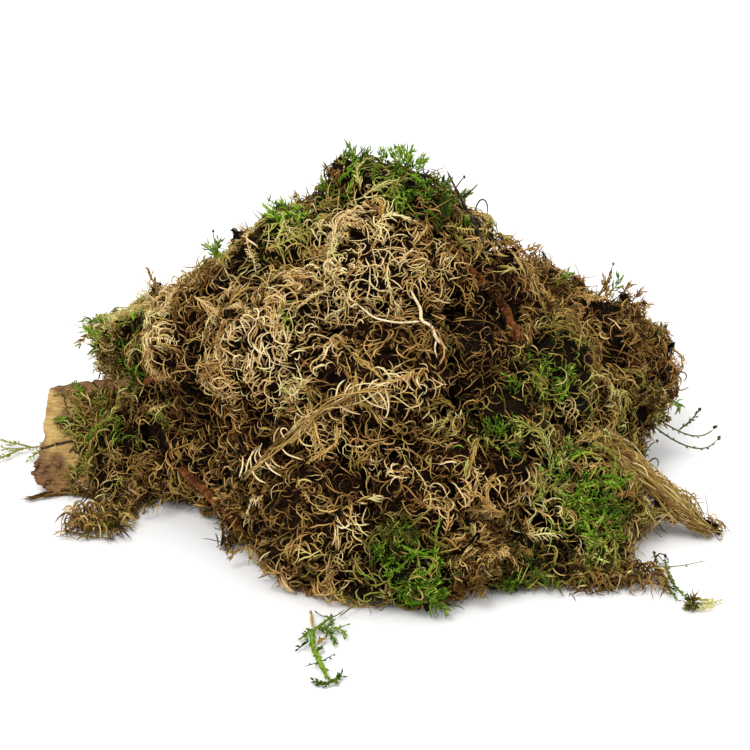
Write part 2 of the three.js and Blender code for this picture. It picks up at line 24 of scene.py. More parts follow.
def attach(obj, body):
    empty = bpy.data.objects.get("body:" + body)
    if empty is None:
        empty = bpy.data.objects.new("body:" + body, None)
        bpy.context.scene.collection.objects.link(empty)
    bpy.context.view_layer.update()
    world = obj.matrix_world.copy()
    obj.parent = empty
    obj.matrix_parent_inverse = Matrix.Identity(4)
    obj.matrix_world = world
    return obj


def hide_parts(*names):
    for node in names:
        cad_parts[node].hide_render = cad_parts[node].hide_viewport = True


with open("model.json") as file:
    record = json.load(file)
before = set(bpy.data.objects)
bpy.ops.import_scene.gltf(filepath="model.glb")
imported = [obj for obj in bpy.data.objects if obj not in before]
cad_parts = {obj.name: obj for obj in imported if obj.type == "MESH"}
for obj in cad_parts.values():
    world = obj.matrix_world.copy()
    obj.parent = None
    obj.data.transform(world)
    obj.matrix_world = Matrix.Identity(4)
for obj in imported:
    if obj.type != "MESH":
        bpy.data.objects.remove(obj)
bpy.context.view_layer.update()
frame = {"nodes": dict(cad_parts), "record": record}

MM = 0.001
NOISE_SEED = 7

noise.seed_set(NOISE_SEED)
slot_of = {part["node"]: part["material_slot"] for part in frame["record"]["subparts"]}
nodes = list(frame["nodes"])
heap_nodes = [name for name in nodes if name.startswith("wad_") or "_tuft_" in name]
print(len(nodes), "solids, of which", len(heap_nodes), "are wads and tufts")


# %% [markdown]
# ## The camera
#
# The heap is seen from the front and a little from above, from so far that its lines hardly converge.
# A long lens gives that. The camera comes first, because some features are placed where it sees them.

# %% Camera
CAMERA_DISTANCE = 0.7
CAMERA_ELEVATION = math.radians(26)
FOCAL_PIXELS = 1892
FRAME_PIXELS = 750
ORIGIN_BELOW_MIDDLE = 115 # pixels from the picture's middle down to the frame's origin
SENSOR_WIDTH = 36 # millimetres

lens = bpy.data.cameras.new("camera")
lens.sensor_width = SENSOR_WIDTH
lens.lens = FOCAL_PIXELS * lens.sensor_width / FRAME_PIXELS
camera = bpy.data.objects.new("camera", lens)
bpy.context.scene.collection.objects.link(camera)
camera.location = (
    0, -CAMERA_DISTANCE * math.cos(CAMERA_ELEVATION), CAMERA_DISTANCE * math.sin(CAMERA_ELEVATION)
)
tilt_up = math.atan(ORIGIN_BELOW_MIDDLE / FOCAL_PIXELS)
camera.rotation_euler = (math.pi / 2 - CAMERA_ELEVATION + tilt_up, 0, 0)
bpy.context.scene.camera = camera
bpy.context.view_layer.update()
print("a", round(lens.lens), "mm lens")


# %% [markdown]
# ## The skin of the heap
#
# Strands don't grow on one wad alone: they lie over the whole heap and bridge the gaps between the wads.
# So the solids are copied and melted into one skin. Growing the skin outwards, melting it again and
# shrinking it back closes the narrow gaps and leaves the wide ones open. The skin is only a guide for the
# strands and is thrown away at the end.

# %% Melt the wads into one skin
SKIN_VOXEL = 2.8 * MM
BRIDGED = 3.5 * MM # gaps up to twice this are bridged
SKIN_RELAX = (0.6, 4) # how far each corner moves to the middle of its neighbours, and how often
DOUBLES = 1e-6 # corners nearer than this are one


def copy_of(node):
    """A copy of a CAD node's mesh with its doubles merged."""
    shape = bmesh.new()
    shape.from_mesh(frame["nodes"][node].data)
    bmesh.ops.remove_doubles(shape, verts=shape.verts, dist=DOUBLES)
    mesh = bpy.data.meshes.new(node + "_copy")
    shape.to_mesh(mesh)
    shape.free()
    return mesh


def linked(name, mesh):
    thing = bpy.data.objects.new(name, mesh)
    bpy.context.scene.collection.objects.link(thing)
    return thing


def finished(thing):
    """The thing's mesh with its modifiers applied. The thing itself is removed."""
    bpy.context.view_layer.update()
    seen = thing.evaluated_get(bpy.context.evaluated_depsgraph_get())
    mesh = bpy.data.meshes.new_from_object(seen)
    bpy.data.objects.remove(thing)
    return mesh


def ray_finder(mesh):
    return BVHTree.FromPolygons([v.co for v in mesh.vertices], [p.vertices for p in mesh.polygons])


def melted(thing, grow=0):
    melt = thing.modifiers.new("Melt", "REMESH")
    melt.mode = "VOXEL"
    melt.voxel_size = SKIN_VOXEL
    if grow:
        move = thing.modifiers.new("Grow", "DISPLACE")
        move.mid_level = 0
        move.strength = grow


heap = bmesh.new()
for node in heap_nodes:
    heap.from_mesh(copy_of(node))
heap_mesh = bpy.data.meshes.new("heap")
heap.to_mesh(heap_mesh)
heap.free()
guide = linked("heap_guide", heap_mesh)
melted(guide, grow=BRIDGED)
melted(guide, grow=-BRIDGED)
melted(guide)
relax = guide.modifiers.new("Relax", "SMOOTH")
relax.factor, relax.iterations = SKIN_RELAX
skin_mesh = finished(guide)
skin_mesh.calc_loop_triangles()
skin = ray_finder(skin_mesh)
print("the skin has", len(skin_mesh.loop_triangles), "triangles")

# %% [markdown]
# A strand in a cleft is darkened with a painted shade, because little light reaches it, and the moss inside is
# also old and brown. How open each corner of the skin lies is measured with rays: the share of a bundle of them
# that gets away from the heap. A ray that meets the table counts for less than half.

# %% How open the skin lies
RAYS = 24
TABLE_GLOW = 0.45 # light that comes back from the table, against that from above
RAY_REACH = 26 * MM
RAY_LEAN = 1.05 # how strongly the skin's own direction draws each ray
RAY_START = 0.6 # millimetres off the skin

chance = random.Random("moss")
fans = [Vector([chance.gauss(0, 1) for _ in range(3)]).normalized() for _ in range(RAYS)]


def openness(spot, normal):
    away = 0
    for fan in fans:
        ray = (fan + normal * RAY_LEAN).normalized()
        start = spot + normal * RAY_START * MM
        if skin.ray_cast(start, ray, RAY_REACH)[0] is None:
            away += 1 if (start + ray * RAY_REACH).z > 0 else TABLE_GLOW
    return away / RAYS


open_values = np.array([openness(v.co, v.normal) for v in skin_mesh.vertices])
print("mean openness", round(float(open_values.mean()), 2))

# %% [markdown]
# Every strand belongs to the solid that it grows from. The nearest corner of the solids says which one
# that is. Tone and greenness come from the solids too, but moss has no sharp borders, so both are blurred
# over the skin by averaging each corner with its neighbours a number of times.

# %% What grows where
TONE = {"straw": 0.6, "brown": 0.46, "olive": 0.44, "green": 0.46}
GREENNESS = {"straw": 0.03, "brown": 0.06, "olive": 0.42, "green": 0.62}
BLURS = 14

corner_tree = kdtree.KDTree(sum(len(frame["nodes"][node].data.vertices) for node in heap_nodes))
owner_of_corner = []
for node in heap_nodes:
    for vertex in frame["nodes"][node].data.vertices:
        corner_tree.insert(vertex.co, len(owner_of_corner))
        owner_of_corner.append(nodes.index(node))
corner_tree.balance()


def owner_at(spot):
    return owner_of_corner[corner_tree.find(spot)[1]]


skin_edges = np.array([e.vertices for e in skin_mesh.edges])


def blurred(values, times):
    """The values of the skin's corners, averaged with those of their neighbours."""
    near = np.bincount(skin_edges.ravel(), minlength=len(values)) + 1
    for _ in range(times):
        total = values.copy()
        np.add.at(total, skin_edges[:, 0], values[skin_edges[:, 1]])
        np.add.at(total, skin_edges[:, 1], values[skin_edges[:, 0]])
        values = total / near
    return values


owner_values = np.array([owner_at(v.co) for v in skin_mesh.vertices])
tone_values = blurred(np.array([TONE[slot_of[nodes[k]]] for k in owner_values]), BLURS)
green_values = blurred(np.array([GREENNESS[slot_of[nodes[k]]] for k in owner_values]), BLURS // 2)
tuft_values = blurred(np.array([float(slot_of[nodes[k]] == "green") for k in owner_values]), 2)
print("tones from", tone_values.min().round(2), "to", tone_values.max().round(2))

# %% [markdown]
# Some places on the real heap stand out: bright nests of straw, dark hollows where strands are missing and one
# looks into the heap, and patches of living green. The hollows get a painted shade. Lit spots brighten the
# strands with painted light, and dull spots lower their tone as a painted shade where the heap lies in shade.
# Each is named by where the camera sees it, in pixels, with a size in millimetres and a strength. A ray from
# the camera finds the place on the skin. Behind, where no camera looks, slow noise scatters green patches and
# bright nests of the same kind.

# %% Bright nests, dark hollows and green patches
BRIGHT = [
    (385, 262, 24, 0.2), (345, 245, 16, 0.1), (430, 285, 14, 0.12), (275, 355, 18, 0.24),
    (340, 425, 14, 0.08), (395, 385, 14, 0.15), (152, 318, 16, 0.16), (560, 300, 14, 0.08),
    (670, 495, 22, 0.08), (300, 540, 20, 0.04), (450, 480, 12, 0.1), (575, 405, 12, 0.08),
    (100, 325, 24, 0.34), (300, 235, 16, 0.12), (135, 312, 14, 0.15), (572, 485, 18, 0.1),
    (575, 540, 14, 0.1), (350, 210, 10, 0.06), (300, 350, 14, 0.1), (395, 230, 14, 0.12),
]
SHADED_HOLLOWS = [
    (368, 310, 6, 1.0), (430, 322, 7, 1.0), (458, 338, 7, 0.9), (375, 372, 5, 0.8), (452, 372, 6, 0.9),
    (198, 395, 9, 1.0), (196, 430, 9, 1.0), (280, 455, 9, 0.8), (262, 440, 6, 0.7), (345, 478, 7, 0.7),
    (390, 500, 7, 0.9), (392, 530, 6, 0.8), (515, 470, 8, 0.9), (512, 505, 7, 0.9), (455, 250, 6, 0.7),
    (490, 300, 6, 0.7), (242, 500, 8, 0.7), (330, 300, 4, 0.5), (545, 420, 6, 0.6), (620, 400, 6, 0.6),
    (470, 420, 9, 0.7), (240, 415, 5, 0.6), (310, 395, 4, 0.6), (150, 400, 6, 0.6), (500, 545, 7, 0.8),
    (400, 420, 8, 0.6), (440, 440, 8, 0.7), (500, 350, 8, 0.6), (480, 385, 7, 0.7), (420, 470, 7, 0.6),
    (445, 205, 7, 0.7), (240, 470, 8, 0.6), (640, 420, 8, 0.6), (260, 500, 8, 0.8), (350, 560, 8, 0.5),
    (510, 400, 9, 0.6), (262, 530, 7, 0.6), (530, 300, 8, 0.6), (125, 420, 6, 0.6), (275, 490, 7, 0.7),
    (305, 520, 7, 0.6), (250, 470, 7, 0.6), (470, 330, 14, 0.7), (480, 355, 8, 0.6), (300, 465, 8, 0.6),
    (172, 400, 9, 0.9), (186, 375, 7, 0.8), (165, 430, 8, 0.7), (150, 385, 7, 0.6), (205, 455, 8, 0.6),
    (535, 330, 8, 0.8), (540, 372, 7, 0.7), (534, 275, 6, 0.6), (225, 400, 6, 0.5), (255, 415, 7, 0.6),
]
PAINTED_LIGHT_SPOTS = [
    (100, 325, 24, 0.7), (125, 300, 18, 0.3), (615, 290, 16, 0.15), (345, 250, 20, 0.2),
    (400, 265, 24, 0.32), (380, 425, 22, 0.12), (275, 355, 18, 0.2), (152, 318, 16, 0.3),
    (575, 495, 20, 0.3), (360, 165, 16, 0.15), (585, 545, 16, 0.3), (300, 238, 18, 0.2),
    (135, 318, 18, 0.3),
]
SHADED_TONE_SPOTS = [
    (470, 332, 24, 0.26), (480, 385, 18, 0.14), (500, 470, 16, 0.12), (640, 370, 22, 0.13),
    (395, 500, 18, 0.1), (265, 510, 24, 0.22), (310, 590, 18, 0.05), (240, 540, 14, 0.12),
    (285, 515, 22, 0.16), (172, 405, 18, 0.12), (440, 212, 16, 0.1), (475, 572, 12, 0.2),
    (280, 465, 24, 0.2), (385, 350, 16, 0.14), (190, 410, 14, 0.12), (610, 560, 20, 0.08),
    (100, 510, 20, 0.06), (470, 430, 16, 0.1), (290, 490, 14, 0.08), (560, 320, 14, 0.05),
]
GREEN = [
    (354, 156, 5, 1.0), (404, 165, 6, 1.0), (412, 200, 6, 0.9), (284, 214, 8, 0.9), (288, 312, 4, 1.0),
    (462, 416, 5, 0.9), (505, 432, 6, 1.0), (553, 382, 5, 0.9), (562, 470, 7, 1.0), (586, 500, 8, 1.0),
    (606, 520, 5, 0.8), (394, 540, 9, 1.0), (412, 583, 9, 0.9), (430, 603, 6, 1.0), (95, 322, 12, 0.7),
    (125, 312, 8, 0.5), (150, 430, 9, 0.5), (446, 430, 6, 0.8), (480, 442, 6, 0.8), (518, 362, 5, 0.7),
    (592, 522, 9, 1.0), (600, 545, 6, 0.8), (540, 482, 6, 0.8), (640, 400, 5, 0.6), (165, 385, 5, 0.6),
    (140, 372, 5, 0.8), (112, 436, 8, 0.7), (530, 350, 4, 0.7), (528, 568, 7, 0.7), (345, 300, 3, 0.6),
    (660, 415, 6, 0.6), (240, 500, 5, 0.4), (470, 240, 5, 0.4), (440, 190, 5, 0.7), (384, 160, 4, 0.8),
]

print("named spots:", sum(len(marks) for marks in (BRIGHT, SHADED_HOLLOWS, PAINTED_LIGHT_SPOTS, SHADED_TONE_SPOTS, GREEN)))

# %% [markdown]
# To find a spot, a ray leaves the camera through its pixel. A pixel just outside the heap meets nothing, so
# the ray is then tried a little nearer to the heap's middle. A spot fades out with its distance from there.

# %% Find the named spots on the skin
HEAP_MIDDLE = (375, 430)
INWARDS = np.linspace(0, 0.2, 11) # the shares of the way to the middle that are tried
SPOT_EDGE = 1.4 # a spot has faded out at this many times its size
CLOUD_GAIN = 1.6

skin_points = np.array([v.co for v in skin_mesh.vertices])


def camera_ray(px, py):
    """The direction in which the camera sees a pixel, one unit deep."""
    half = FRAME_PIXELS / 2
    ray = Vector(((px - half) / FOCAL_PIXELS, (half - py) / FOCAL_PIXELS, -1))
    ray.rotate(camera.matrix_world.to_quaternion())
    return ray


def seen_at(px, py):
    """The place on the skin at a pixel of the camera's picture, or at the next one inwards that meets it."""
    for share in INWARDS:
        ray = camera_ray(px + (HEAP_MIDDLE[0] - px) * share, py + (HEAP_MIDDLE[1] - py) * share)
        spot = skin.ray_cast(camera.location, ray.normalized())[0]
        if spot is not None:
            return spot


def spots(marks):
    """How strongly the named spots reach each corner of the skin."""
    field = np.zeros(len(skin_points))
    for px, py, size, strength in marks:
        spot = seen_at(px, py)
        if spot is not None:
            far = np.linalg.norm(skin_points - np.array(spot), axis=1) / (size * MM)
            field = np.maximum(field, strength * np.clip(SPOT_EDGE - far, 0, 1))
    return field


def clouds(size, seed):
    """Slow noise over the skin, from about -1 to 1, with lumps of that many millimetres."""
    shift = Vector((seed, 0, 0))
    return np.array([noise.noise(Vector(p) / (size * MM) + shift) for p in skin_points]) * CLOUD_GAIN


print("the middle of the heap is at", [round(c / MM) for c in seen_at(*HEAP_MIDDLE)], "mm")

# %% [markdown]
# Each value of the skin is now the sum of the named spots and of noise with lumps of its own size. Bright
# nests and tufts stay free of hollows, and the noise for patches of green works behind only.

# %% Mix the spots with noise
HOLLOW_LUMPS, TONE_LUMPS, PATCH_LUMPS, LEAF_LUMPS = 11, 22, 26, 13 # millimetres
BACK_FROM = 20 * MM # behind this depth the back begins, and it has begun fully at twice this
MOST_HOLLOW = 0.9

hollow_noise = clouds(HOLLOW_LUMPS, 3.3)
flat_values = np.array([float(nodes[k].startswith("wad_shed")) for k in owner_values])
bright_values = spots(BRIGHT)
behind = np.clip((skin_points[:, 1] - BACK_FROM) / BACK_FROM, 0, 1)
# Painted light: the lit spots raise the openness, so the strands there are lighter.
open_values = np.clip(open_values + spots(PAINTED_LIGHT_SPOTS), 0, 1)
# The dull spots lower the tone: a painted shade.
tone_values += bright_values - spots(SHADED_TONE_SPOTS) + (0.1 + 0.06 * behind) * clouds(TONE_LUMPS, 9.1)
closed = np.clip(1 - 5 * bright_values - 0.6 * tuft_values, 0.1, 1)
# How deep each hollow is: the skin is pushed in there, and its strands get a painted shade.
hollow_shade_values = np.maximum(spots(SHADED_HOLLOWS), np.clip(2.4 * hollow_noise - 0.65, 0, MOST_HOLLOW) * closed)
patches = spots(GREEN) + behind * np.clip(2 * clouds(PATCH_LUMPS, 1.7) - 1.0, 0, MOST_HOLLOW)
leafy_values = np.clip(patches + 0.25 * tuft_values * np.clip(0.3 + clouds(LEAF_LUMPS, 5.7), 0, 1), 0, 1)
green_values = np.clip(green_values + 0.3 * leafy_values - 0.1, 0, 1)
print("hollows cover", round(100 * float((hollow_shade_values > 0.4).mean())), "% of the skin,",
      "green", round(100 * float((leafy_values > 0.4).mean())), "%")

# %% [markdown]
# Some wads of the real heap are slighter than their solids. The two that were shed on the table lie flat,
# and six at the sides and the foot are drawn in a little towards a point inside them. The wedge at the
# right foot runs out to a point and arches over the table, and the tail at the left is short and thin.
# One function says where any spot goes, because the skin and later the beds have to move alike.

# %% Flat and slight wads, the pointed wedge and the tail
FLAT_WADS = {
    "wad_shed_left": (Vector((-98, -30, 0)) * MM, Vector((0.5, 0.4, 0.14))),
    "wad_shed_right": (Vector((78, -71, 0)) * MM, Vector((0.7, 0.4, 0.18))),
}
SMALL_WADS = {
    "wad_foot_far_right": (Vector((76, -24, 0)) * MM, Vector((0.68, 0.68, 1))),
    "wad_right_lobe": (Vector((80, 30, 40)) * MM, Vector((0.92, 0.8, 0.62))),
    "wad_right_knob": (Vector((95, 50, 20)) * MM, Vector((0.93, 1, 0.8))),
    "wad_left_lobe": (Vector((-80, 32, 0)) * MM, Vector((0.72, 1, 0.6))),
    "wad_left_hump": (Vector((-76, 45, 42)) * MM, Vector((0.74, 1, 0.9))),
    "wad_foot_left": (Vector((-20, -29, 33)) * MM, Vector((0.82, 1, 1))),
}
DRAWN_WADS = FLAT_WADS | SMALL_WADS # towards which point, and by how much along each side
WEDGE_ROOT = Vector((90, -31, 6)) * MM
WEDGE_POINT = Vector((121, -38, 1.5)) * MM
WEDGE_REACH = 23 * MM # how far the solid reaches beyond its root
WEDGE_NARROWED = 0.7
WEDGE_FRONT = 0.5 # how much of it is left in front of its middle line
WEDGE_LIFT = 8 * MM # its underside arches over the table between the heap and its point
ARCH_STARTS, ARCH_ENDS = 0.2, 0.4 # the shares of its length over which the arch rises and falls
ARCH_KEEPS = 0.3 # how much of its own height a spot keeps over the arch
TAIL_ROOT = Vector((-88, 56, 42)) * MM
TAIL_REACH = 9 * MM
TAIL_THINNED = 0.7
TAIL_SHORTER = 0.35


def drawn_in(spot, node):
    """Where a spot of the heap goes: some wads are flat or slight, one is pointed and one is a thin tail."""
    if node in DRAWN_WADS:
        middle, scale = DRAWN_WADS[node]
        return middle + (spot - middle) * scale
    if node == "wad_wedge":
        share = min(1, max(0, (spot.x - WEDGE_ROOT.x) / WEDGE_REACH))
        aside = Vector((0, spot.y - WEDGE_ROOT.y, spot.z - WEDGE_ROOT.z)) * (1 - WEDGE_NARROWED * share)
        if aside.y < 0:
            aside.y *= WEDGE_FRONT
        if share > 0:
            drawn = WEDGE_ROOT.lerp(WEDGE_POINT, share) + aside
            arch_here = WEDGE_LIFT * min(1, share / ARCH_STARTS) * min(1, (1 - share) / ARCH_ENDS)
            drawn.z = max(drawn.z, arch_here + ARCH_KEEPS * drawn.z)
            return drawn
    if node == "wad_left_tail":
        share = min(1, max(0, (TAIL_ROOT.x - spot.x) / TAIL_REACH))
        inwards = Vector(((TAIL_ROOT.x - spot.x) * TAIL_SHORTER, 0, (TAIL_ROOT.z - spot.z) * TAIL_THINNED))
        return spot + inwards * share
    return spot


print("flat wads:", sorted(FLAT_WADS), "and", len(SMALL_WADS), "slight ones")

# %% [markdown]
# The heap is rough: between the hollows the strands stand up in clumps. So the skin is moved out by the
# same noise that makes the hollows, in at the hollows, and further in at some dents in the outline. What
# lies in a dent is on the outline and so in the light, and is less dark. The ray finder is then made once
# more.

# %% Rough the skin up
CLUMP_HEIGHT = 1.7 * MM
HOLLOW_DEPTH = 2.6 * MM
LIT_DENT = 7 # a dent of this many millimetres is lit fully
LEAST_DARK = 0.2 # of a hollow's darkness
DENTS = [
    (240, 235, 11, 7), (134, 284, 10, 6), (325, 172, 9, 5), (550, 275, 11, 11), (580, 284, 9, 6),
    (556, 283, 10, 9), (662, 318, 13, 10), (650, 440, 13, 11), (648, 540, 13, 9), (618, 547, 11, 8),
    (476, 578, 15, 14), (450, 600, 11, 9), (405, 610, 12, 4), (325, 602, 10, 4), (226, 520, 14, 9),
    (600, 592, 14, 3), (495, 580, 9, 6), (186, 270, 9, 5), (500, 215, 6, 2), (350, 600, 9, 3),
    (150, 492, 12, 9), (335, 150, 6, 3), (655, 462, 10, 6), (668, 432, 10, 6), (104, 362, 17, 13),
    (540, 262, 8, 5),
]

dent_values = spots(DENTS) * (1 - flat_values)
for vertex, raised, hollow, dent in zip(skin_mesh.vertices, hollow_noise, hollow_shade_values, dent_values):
    vertex.co += vertex.normal * (-CLUMP_HEIGHT * raised - HOLLOW_DEPTH * hollow - dent * MM)
for vertex, owner in zip(skin_mesh.vertices, owner_values):
    vertex.co = drawn_in(vertex.co, nodes[owner])
    vertex.co.z = max(vertex.co.z, 0)
skin_mesh.update()
hollow_shade_values *= np.clip(1 - dent_values / LIT_DENT, LEAST_DARK, 1)
skin = ray_finder(skin_mesh)
print("clumps stand out by up to", round(float(-hollow_noise.min()) * CLUMP_HEIGHT / MM, 1), "mm")

# %% [markdown]
# Roots are scattered over the skin by area, but not where it lies on the table. Each root knows its
# place, the skin's direction there, and the values that were measured above. The first one is printed.

# %% Scatter roots over a surface
numbers = np.random.default_rng(7)
LYING = 1.5 * MM # skin below this lies on the table


class Roots:
    """Places to grow from: point, normal and the skin's values at each."""

    def __init__(self, **arrays):
        self.__dict__.update(arrays)

    def of(self, picks):
        return Roots(**{key: values[picks] for key, values in self.__dict__.items()})

    def __len__(self):
        return len(self.place)


def scattered(mesh, count, want=None, **values):
    """That many random places on a mesh, with the given corner values mixed for each."""
    points = np.array([v.co for v in mesh.vertices])
    normals = np.array([v.normal for v in mesh.vertices])
    corners = np.array([t.vertices for t in mesh.loop_triangles])
    a, b, c = (points[corners[:, k]] for k in range(3))
    weight = np.linalg.norm(np.cross(b - a, c - a), axis=1)
    weight *= (a[:, 2] + b[:, 2] + c[:, 2]) / 3 > LYING
    if want is not None:
        weight *= want[corners].mean(axis=1)
    picks = numbers.choice(len(weight), count, p=weight / weight.sum())
    u, v = numbers.random((2, count))
    flip = u + v > 1
    u[flip], v[flip] = 1 - u[flip], 1 - v[flip]
    shares = np.stack([1 - u - v, u, v], axis=1)
    chosen = corners[picks]
    mixed = {key: (array[chosen] * shares).sum(axis=1) for key, array in values.items()}
    place = (points[chosen] * shares[..., None]).sum(axis=1)
    normal = (normals[chosen] * shares[..., None]).sum(axis=1)
    normal /= np.linalg.norm(normal, axis=1)[:, None]
    first = chosen[np.arange(count), shares.argmax(axis=1)]
    return Roots(place=place, normal=normal, corner=first, **mixed)


def skin_roots(count, want=None):
    roots = scattered(skin_mesh, count, want, open=open_values, tone=tone_values, green=green_values,
                      dark=hollow_shade_values, leafy=leafy_values)
    roots.owner = owner_values[roots.corner]
    return roots


print("sample root", skin_roots(1).place[0].round(3))

# %% [markdown]
# ## Strands
#
# A strand is a chain of points with a radius at each, and a skin is put round it by geometry nodes: the
# chain becomes a curve, and a three-sided profile is swept along it. Hair curves would be lighter, but
# they leave no mesh behind. The chains of one solid are gathered in a tangle, with numbers for the finish:
# tone, greenness, how open a point lies and how far along its strand it is.

# %% Gather strands for each solid
STRAND_NUMBERS = ("radius", "tone", "green", "open", "along", "patch")
LOWEST = 0.4 * MM


class Tangle:
    """The strands of one piece."""

    def __init__(self):
        self.points = []
        self.edges = []
        self.numbers = {name: [] for name in STRAND_NUMBERS}
        self.corners = 0
        self.count = 0

    def add(self, paths, **values):
        strands, length, _ = paths.shape
        place = paths.reshape(-1, 3).copy()
        place[:, 2] = np.maximum(place[:, 2], LOWEST)
        ids = np.arange(strands * length).reshape(strands, length) + self.corners
        self.points.append(place)
        self.edges.append(np.stack([ids[:, :-1].ravel(), ids[:, 1:].ravel()], axis=1))
        values["along"] = np.linspace(0, 1, length)[None, :]
        values["patch"] = (np.arange(strands) + self.count)[:, None]
        for name in STRAND_NUMBERS:
            self.numbers[name].append(np.broadcast_to(values[name], (strands, length)).ravel())
        self.corners += strands * length
        self.count += strands


tangles = {name: Tangle() for name in nodes}


THICKEST_AT = 0.35 # of a strand's length
THINNEST = 0.2 # of its greatest radius


def millimetres(low, high, count):
    """That many random lengths between two numbers of millimetres."""
    return numbers.uniform(low, high, count) * MM


def plant(roots, paths, radius, tone, green, opens, waist=0.55):
    """Adds a strand at each root to the tangle of the solid that the root lies on."""
    length = paths.shape[1]
    share = np.linspace(0, 1, length)
    shape = np.clip(1 - waist * np.abs(share - THICKEST_AT) ** 1.5 * 1.9, THINNEST, 1)
    shape[[0, -1]] = 0
    thick = radius[:, None] * shape
    for owner in np.unique(roots.owner):
        mine = roots.owner == owner
        tangles[nodes[owner]].add(paths[mine], radius=thick[mine], tone=tone[mine][:, None],
                                  green=green[mine][:, None], open=opens[mine])


print("tangles:", len(tangles))

# %% [markdown]
# The sweep is one group of geometry nodes for all tangles. A radius of nothing at both ends closes the
# strand to a point once its doubles are merged.

# %% Sweep a profile along every strand
TIP_DOUBLES = 1e-7 # the doubles at a tip are nearer than this


def swept_skin(sides):
    """Geometry nodes that turn chains of edges into closed strands with pointed ends."""
    tree = bpy.data.node_groups.new("Swept strands", "GeometryNodeTree")
    tree.interface.new_socket("Geometry", in_out="INPUT", socket_type="NodeSocketGeometry")
    tree.interface.new_socket("Geometry", in_out="OUTPUT", socket_type="NodeSocketGeometry")
    node = tree.nodes.new
    link = tree.links.new
    start = node("NodeGroupInput")
    end = node("NodeGroupOutput")
    chains = node("GeometryNodeMeshToCurve")
    thickness = node("GeometryNodeInputNamedAttribute")
    thickness.data_type = "FLOAT"
    thickness.inputs["Name"].default_value = "radius"
    profile = node("GeometryNodeCurvePrimitiveCircle")
    profile.inputs["Resolution"].default_value = sides
    profile.inputs["Radius"].default_value = 1
    turn = node("GeometryNodeSplineParameter")
    around = node("GeometryNodeStoreNamedAttribute")
    around.data_type = "FLOAT"
    around.inputs["Name"].default_value = "around"
    sweep = node("GeometryNodeCurveToMesh")
    close = node("GeometryNodeMergeByDistance")
    close.inputs["Distance"].default_value = TIP_DOUBLES
    link(start.outputs[0], chains.inputs["Mesh"])
    link(profile.outputs["Curve"], around.inputs["Geometry"])
    link(turn.outputs["Factor"], around.inputs["Value"])
    link(chains.outputs["Curve"], sweep.inputs["Curve"])
    link(thickness.outputs["Attribute"], sweep.inputs["Scale"])
    link(around.outputs["Geometry"], sweep.inputs["Profile Curve"])
    link(sweep.outputs["Mesh"], close.inputs["Geometry"])
    link(close.outputs["Geometry"], end.inputs[0])
    return tree


thin_skin = swept_skin(3)
round_skin = swept_skin(8)
print("two sweeps made")

# %% [markdown]
# A picture of the finish can only be baked if every face has a place of its own in the UV square. An
# automatic unwrap of a hundred thousand strands takes very long, but a strand is already a strip: along it
# runs one number and around it another. So every strand gets one cell of a grid in the upper part of the
# square, and every face of a bed one cell in the lower part.

# %% Places in the UV square
BED_SHARE = 0.36 # of the UV square's height, for the bed's faces
CELL_EDGE = 0.06 # the part of a cell that stays empty at each side
TIP = 1e-4 # nearer to either end than this is the tip of a strand
STRIP_SHAPE = 4 # a strip is this many times as long as it is wide


def grid_places(cells, columns, rows, u, v, low, high):
    """Where a place within a cell, from 0 to 1 both ways, falls in the square."""
    inside_u = CELL_EDGE + (1 - 2 * CELL_EDGE) * u
    inside_v = CELL_EDGE + (1 - 2 * CELL_EDGE) * v
    return (cells % columns + inside_u) / columns, low + (high - low) * (cells // columns + inside_v) / rows


def write_uv(mesh, u, v):
    layer = mesh.uv_layers.new(name="OFBake")
    layer.data.foreach_set("uv", np.stack([u, v], axis=1).ravel())


def corner_arrays(mesh):
    """For each face corner: its vertex, its face, and its number within that face."""
    vertex = np.empty(len(mesh.loops), int)
    mesh.loops.foreach_get("vertex_index", vertex)
    start = np.empty(len(mesh.polygons), int)
    total = np.empty(len(mesh.polygons), int)
    mesh.polygons.foreach_get("loop_start", start)
    mesh.polygons.foreach_get("loop_total", total)
    face = np.repeat(np.arange(len(start)), total)
    return vertex, face, np.arange(len(vertex)) - np.repeat(start, total), start


def values_of(mesh, name):
    values = np.empty(len(mesh.vertices))
    mesh.attributes[name].data.foreach_get("value", values)
    return values


def strip_uv(mesh, count, low):
    """Gives each strand its own strip above the height low."""
    vertex, face, _, start = corner_arrays(mesh)
    along = values_of(mesh, "along")[vertex]
    around = values_of(mesh, "around")[vertex]
    tip = (along < TIP) | (along > 1 - TIP)
    widest = np.maximum.reduceat(np.where(tip, 0, around), start)[face]
    around = np.where((widest > 0.6) & (around < 0.1), 1, around)
    sides = np.add.reduceat(np.where(tip, 0, around), start)[face] / np.add.reduceat(~tip * 1.0, start)[face]
    around = np.where(tip, sides, around)
    columns = max(1, round(math.sqrt(count / (STRIP_SHAPE * (1 - low)))))
    rows = math.ceil(count / columns)
    patch = np.rint(values_of(mesh, "patch"))[vertex]
    write_uv(mesh, *grid_places(patch, columns, rows, along, around, low, 1))


def face_uv(mesh, high):
    """Gives each face its own cell below the height high."""
    _, face, number, _ = corner_arrays(mesh)
    columns = math.ceil(math.sqrt(len(mesh.polygons) / high))
    rows = math.ceil(len(mesh.polygons) / columns)
    u = np.array([0, 1, 1, 0])[number]
    v = np.array([0, 0, 1, 1])[number]
    write_uv(mesh, *grid_places(face, columns, rows, u, v, 0, high))


print("UV helpers ready")


# %% [markdown]
# Now a tangle becomes a mesh: its chains are swept, and every strand gets its strip.

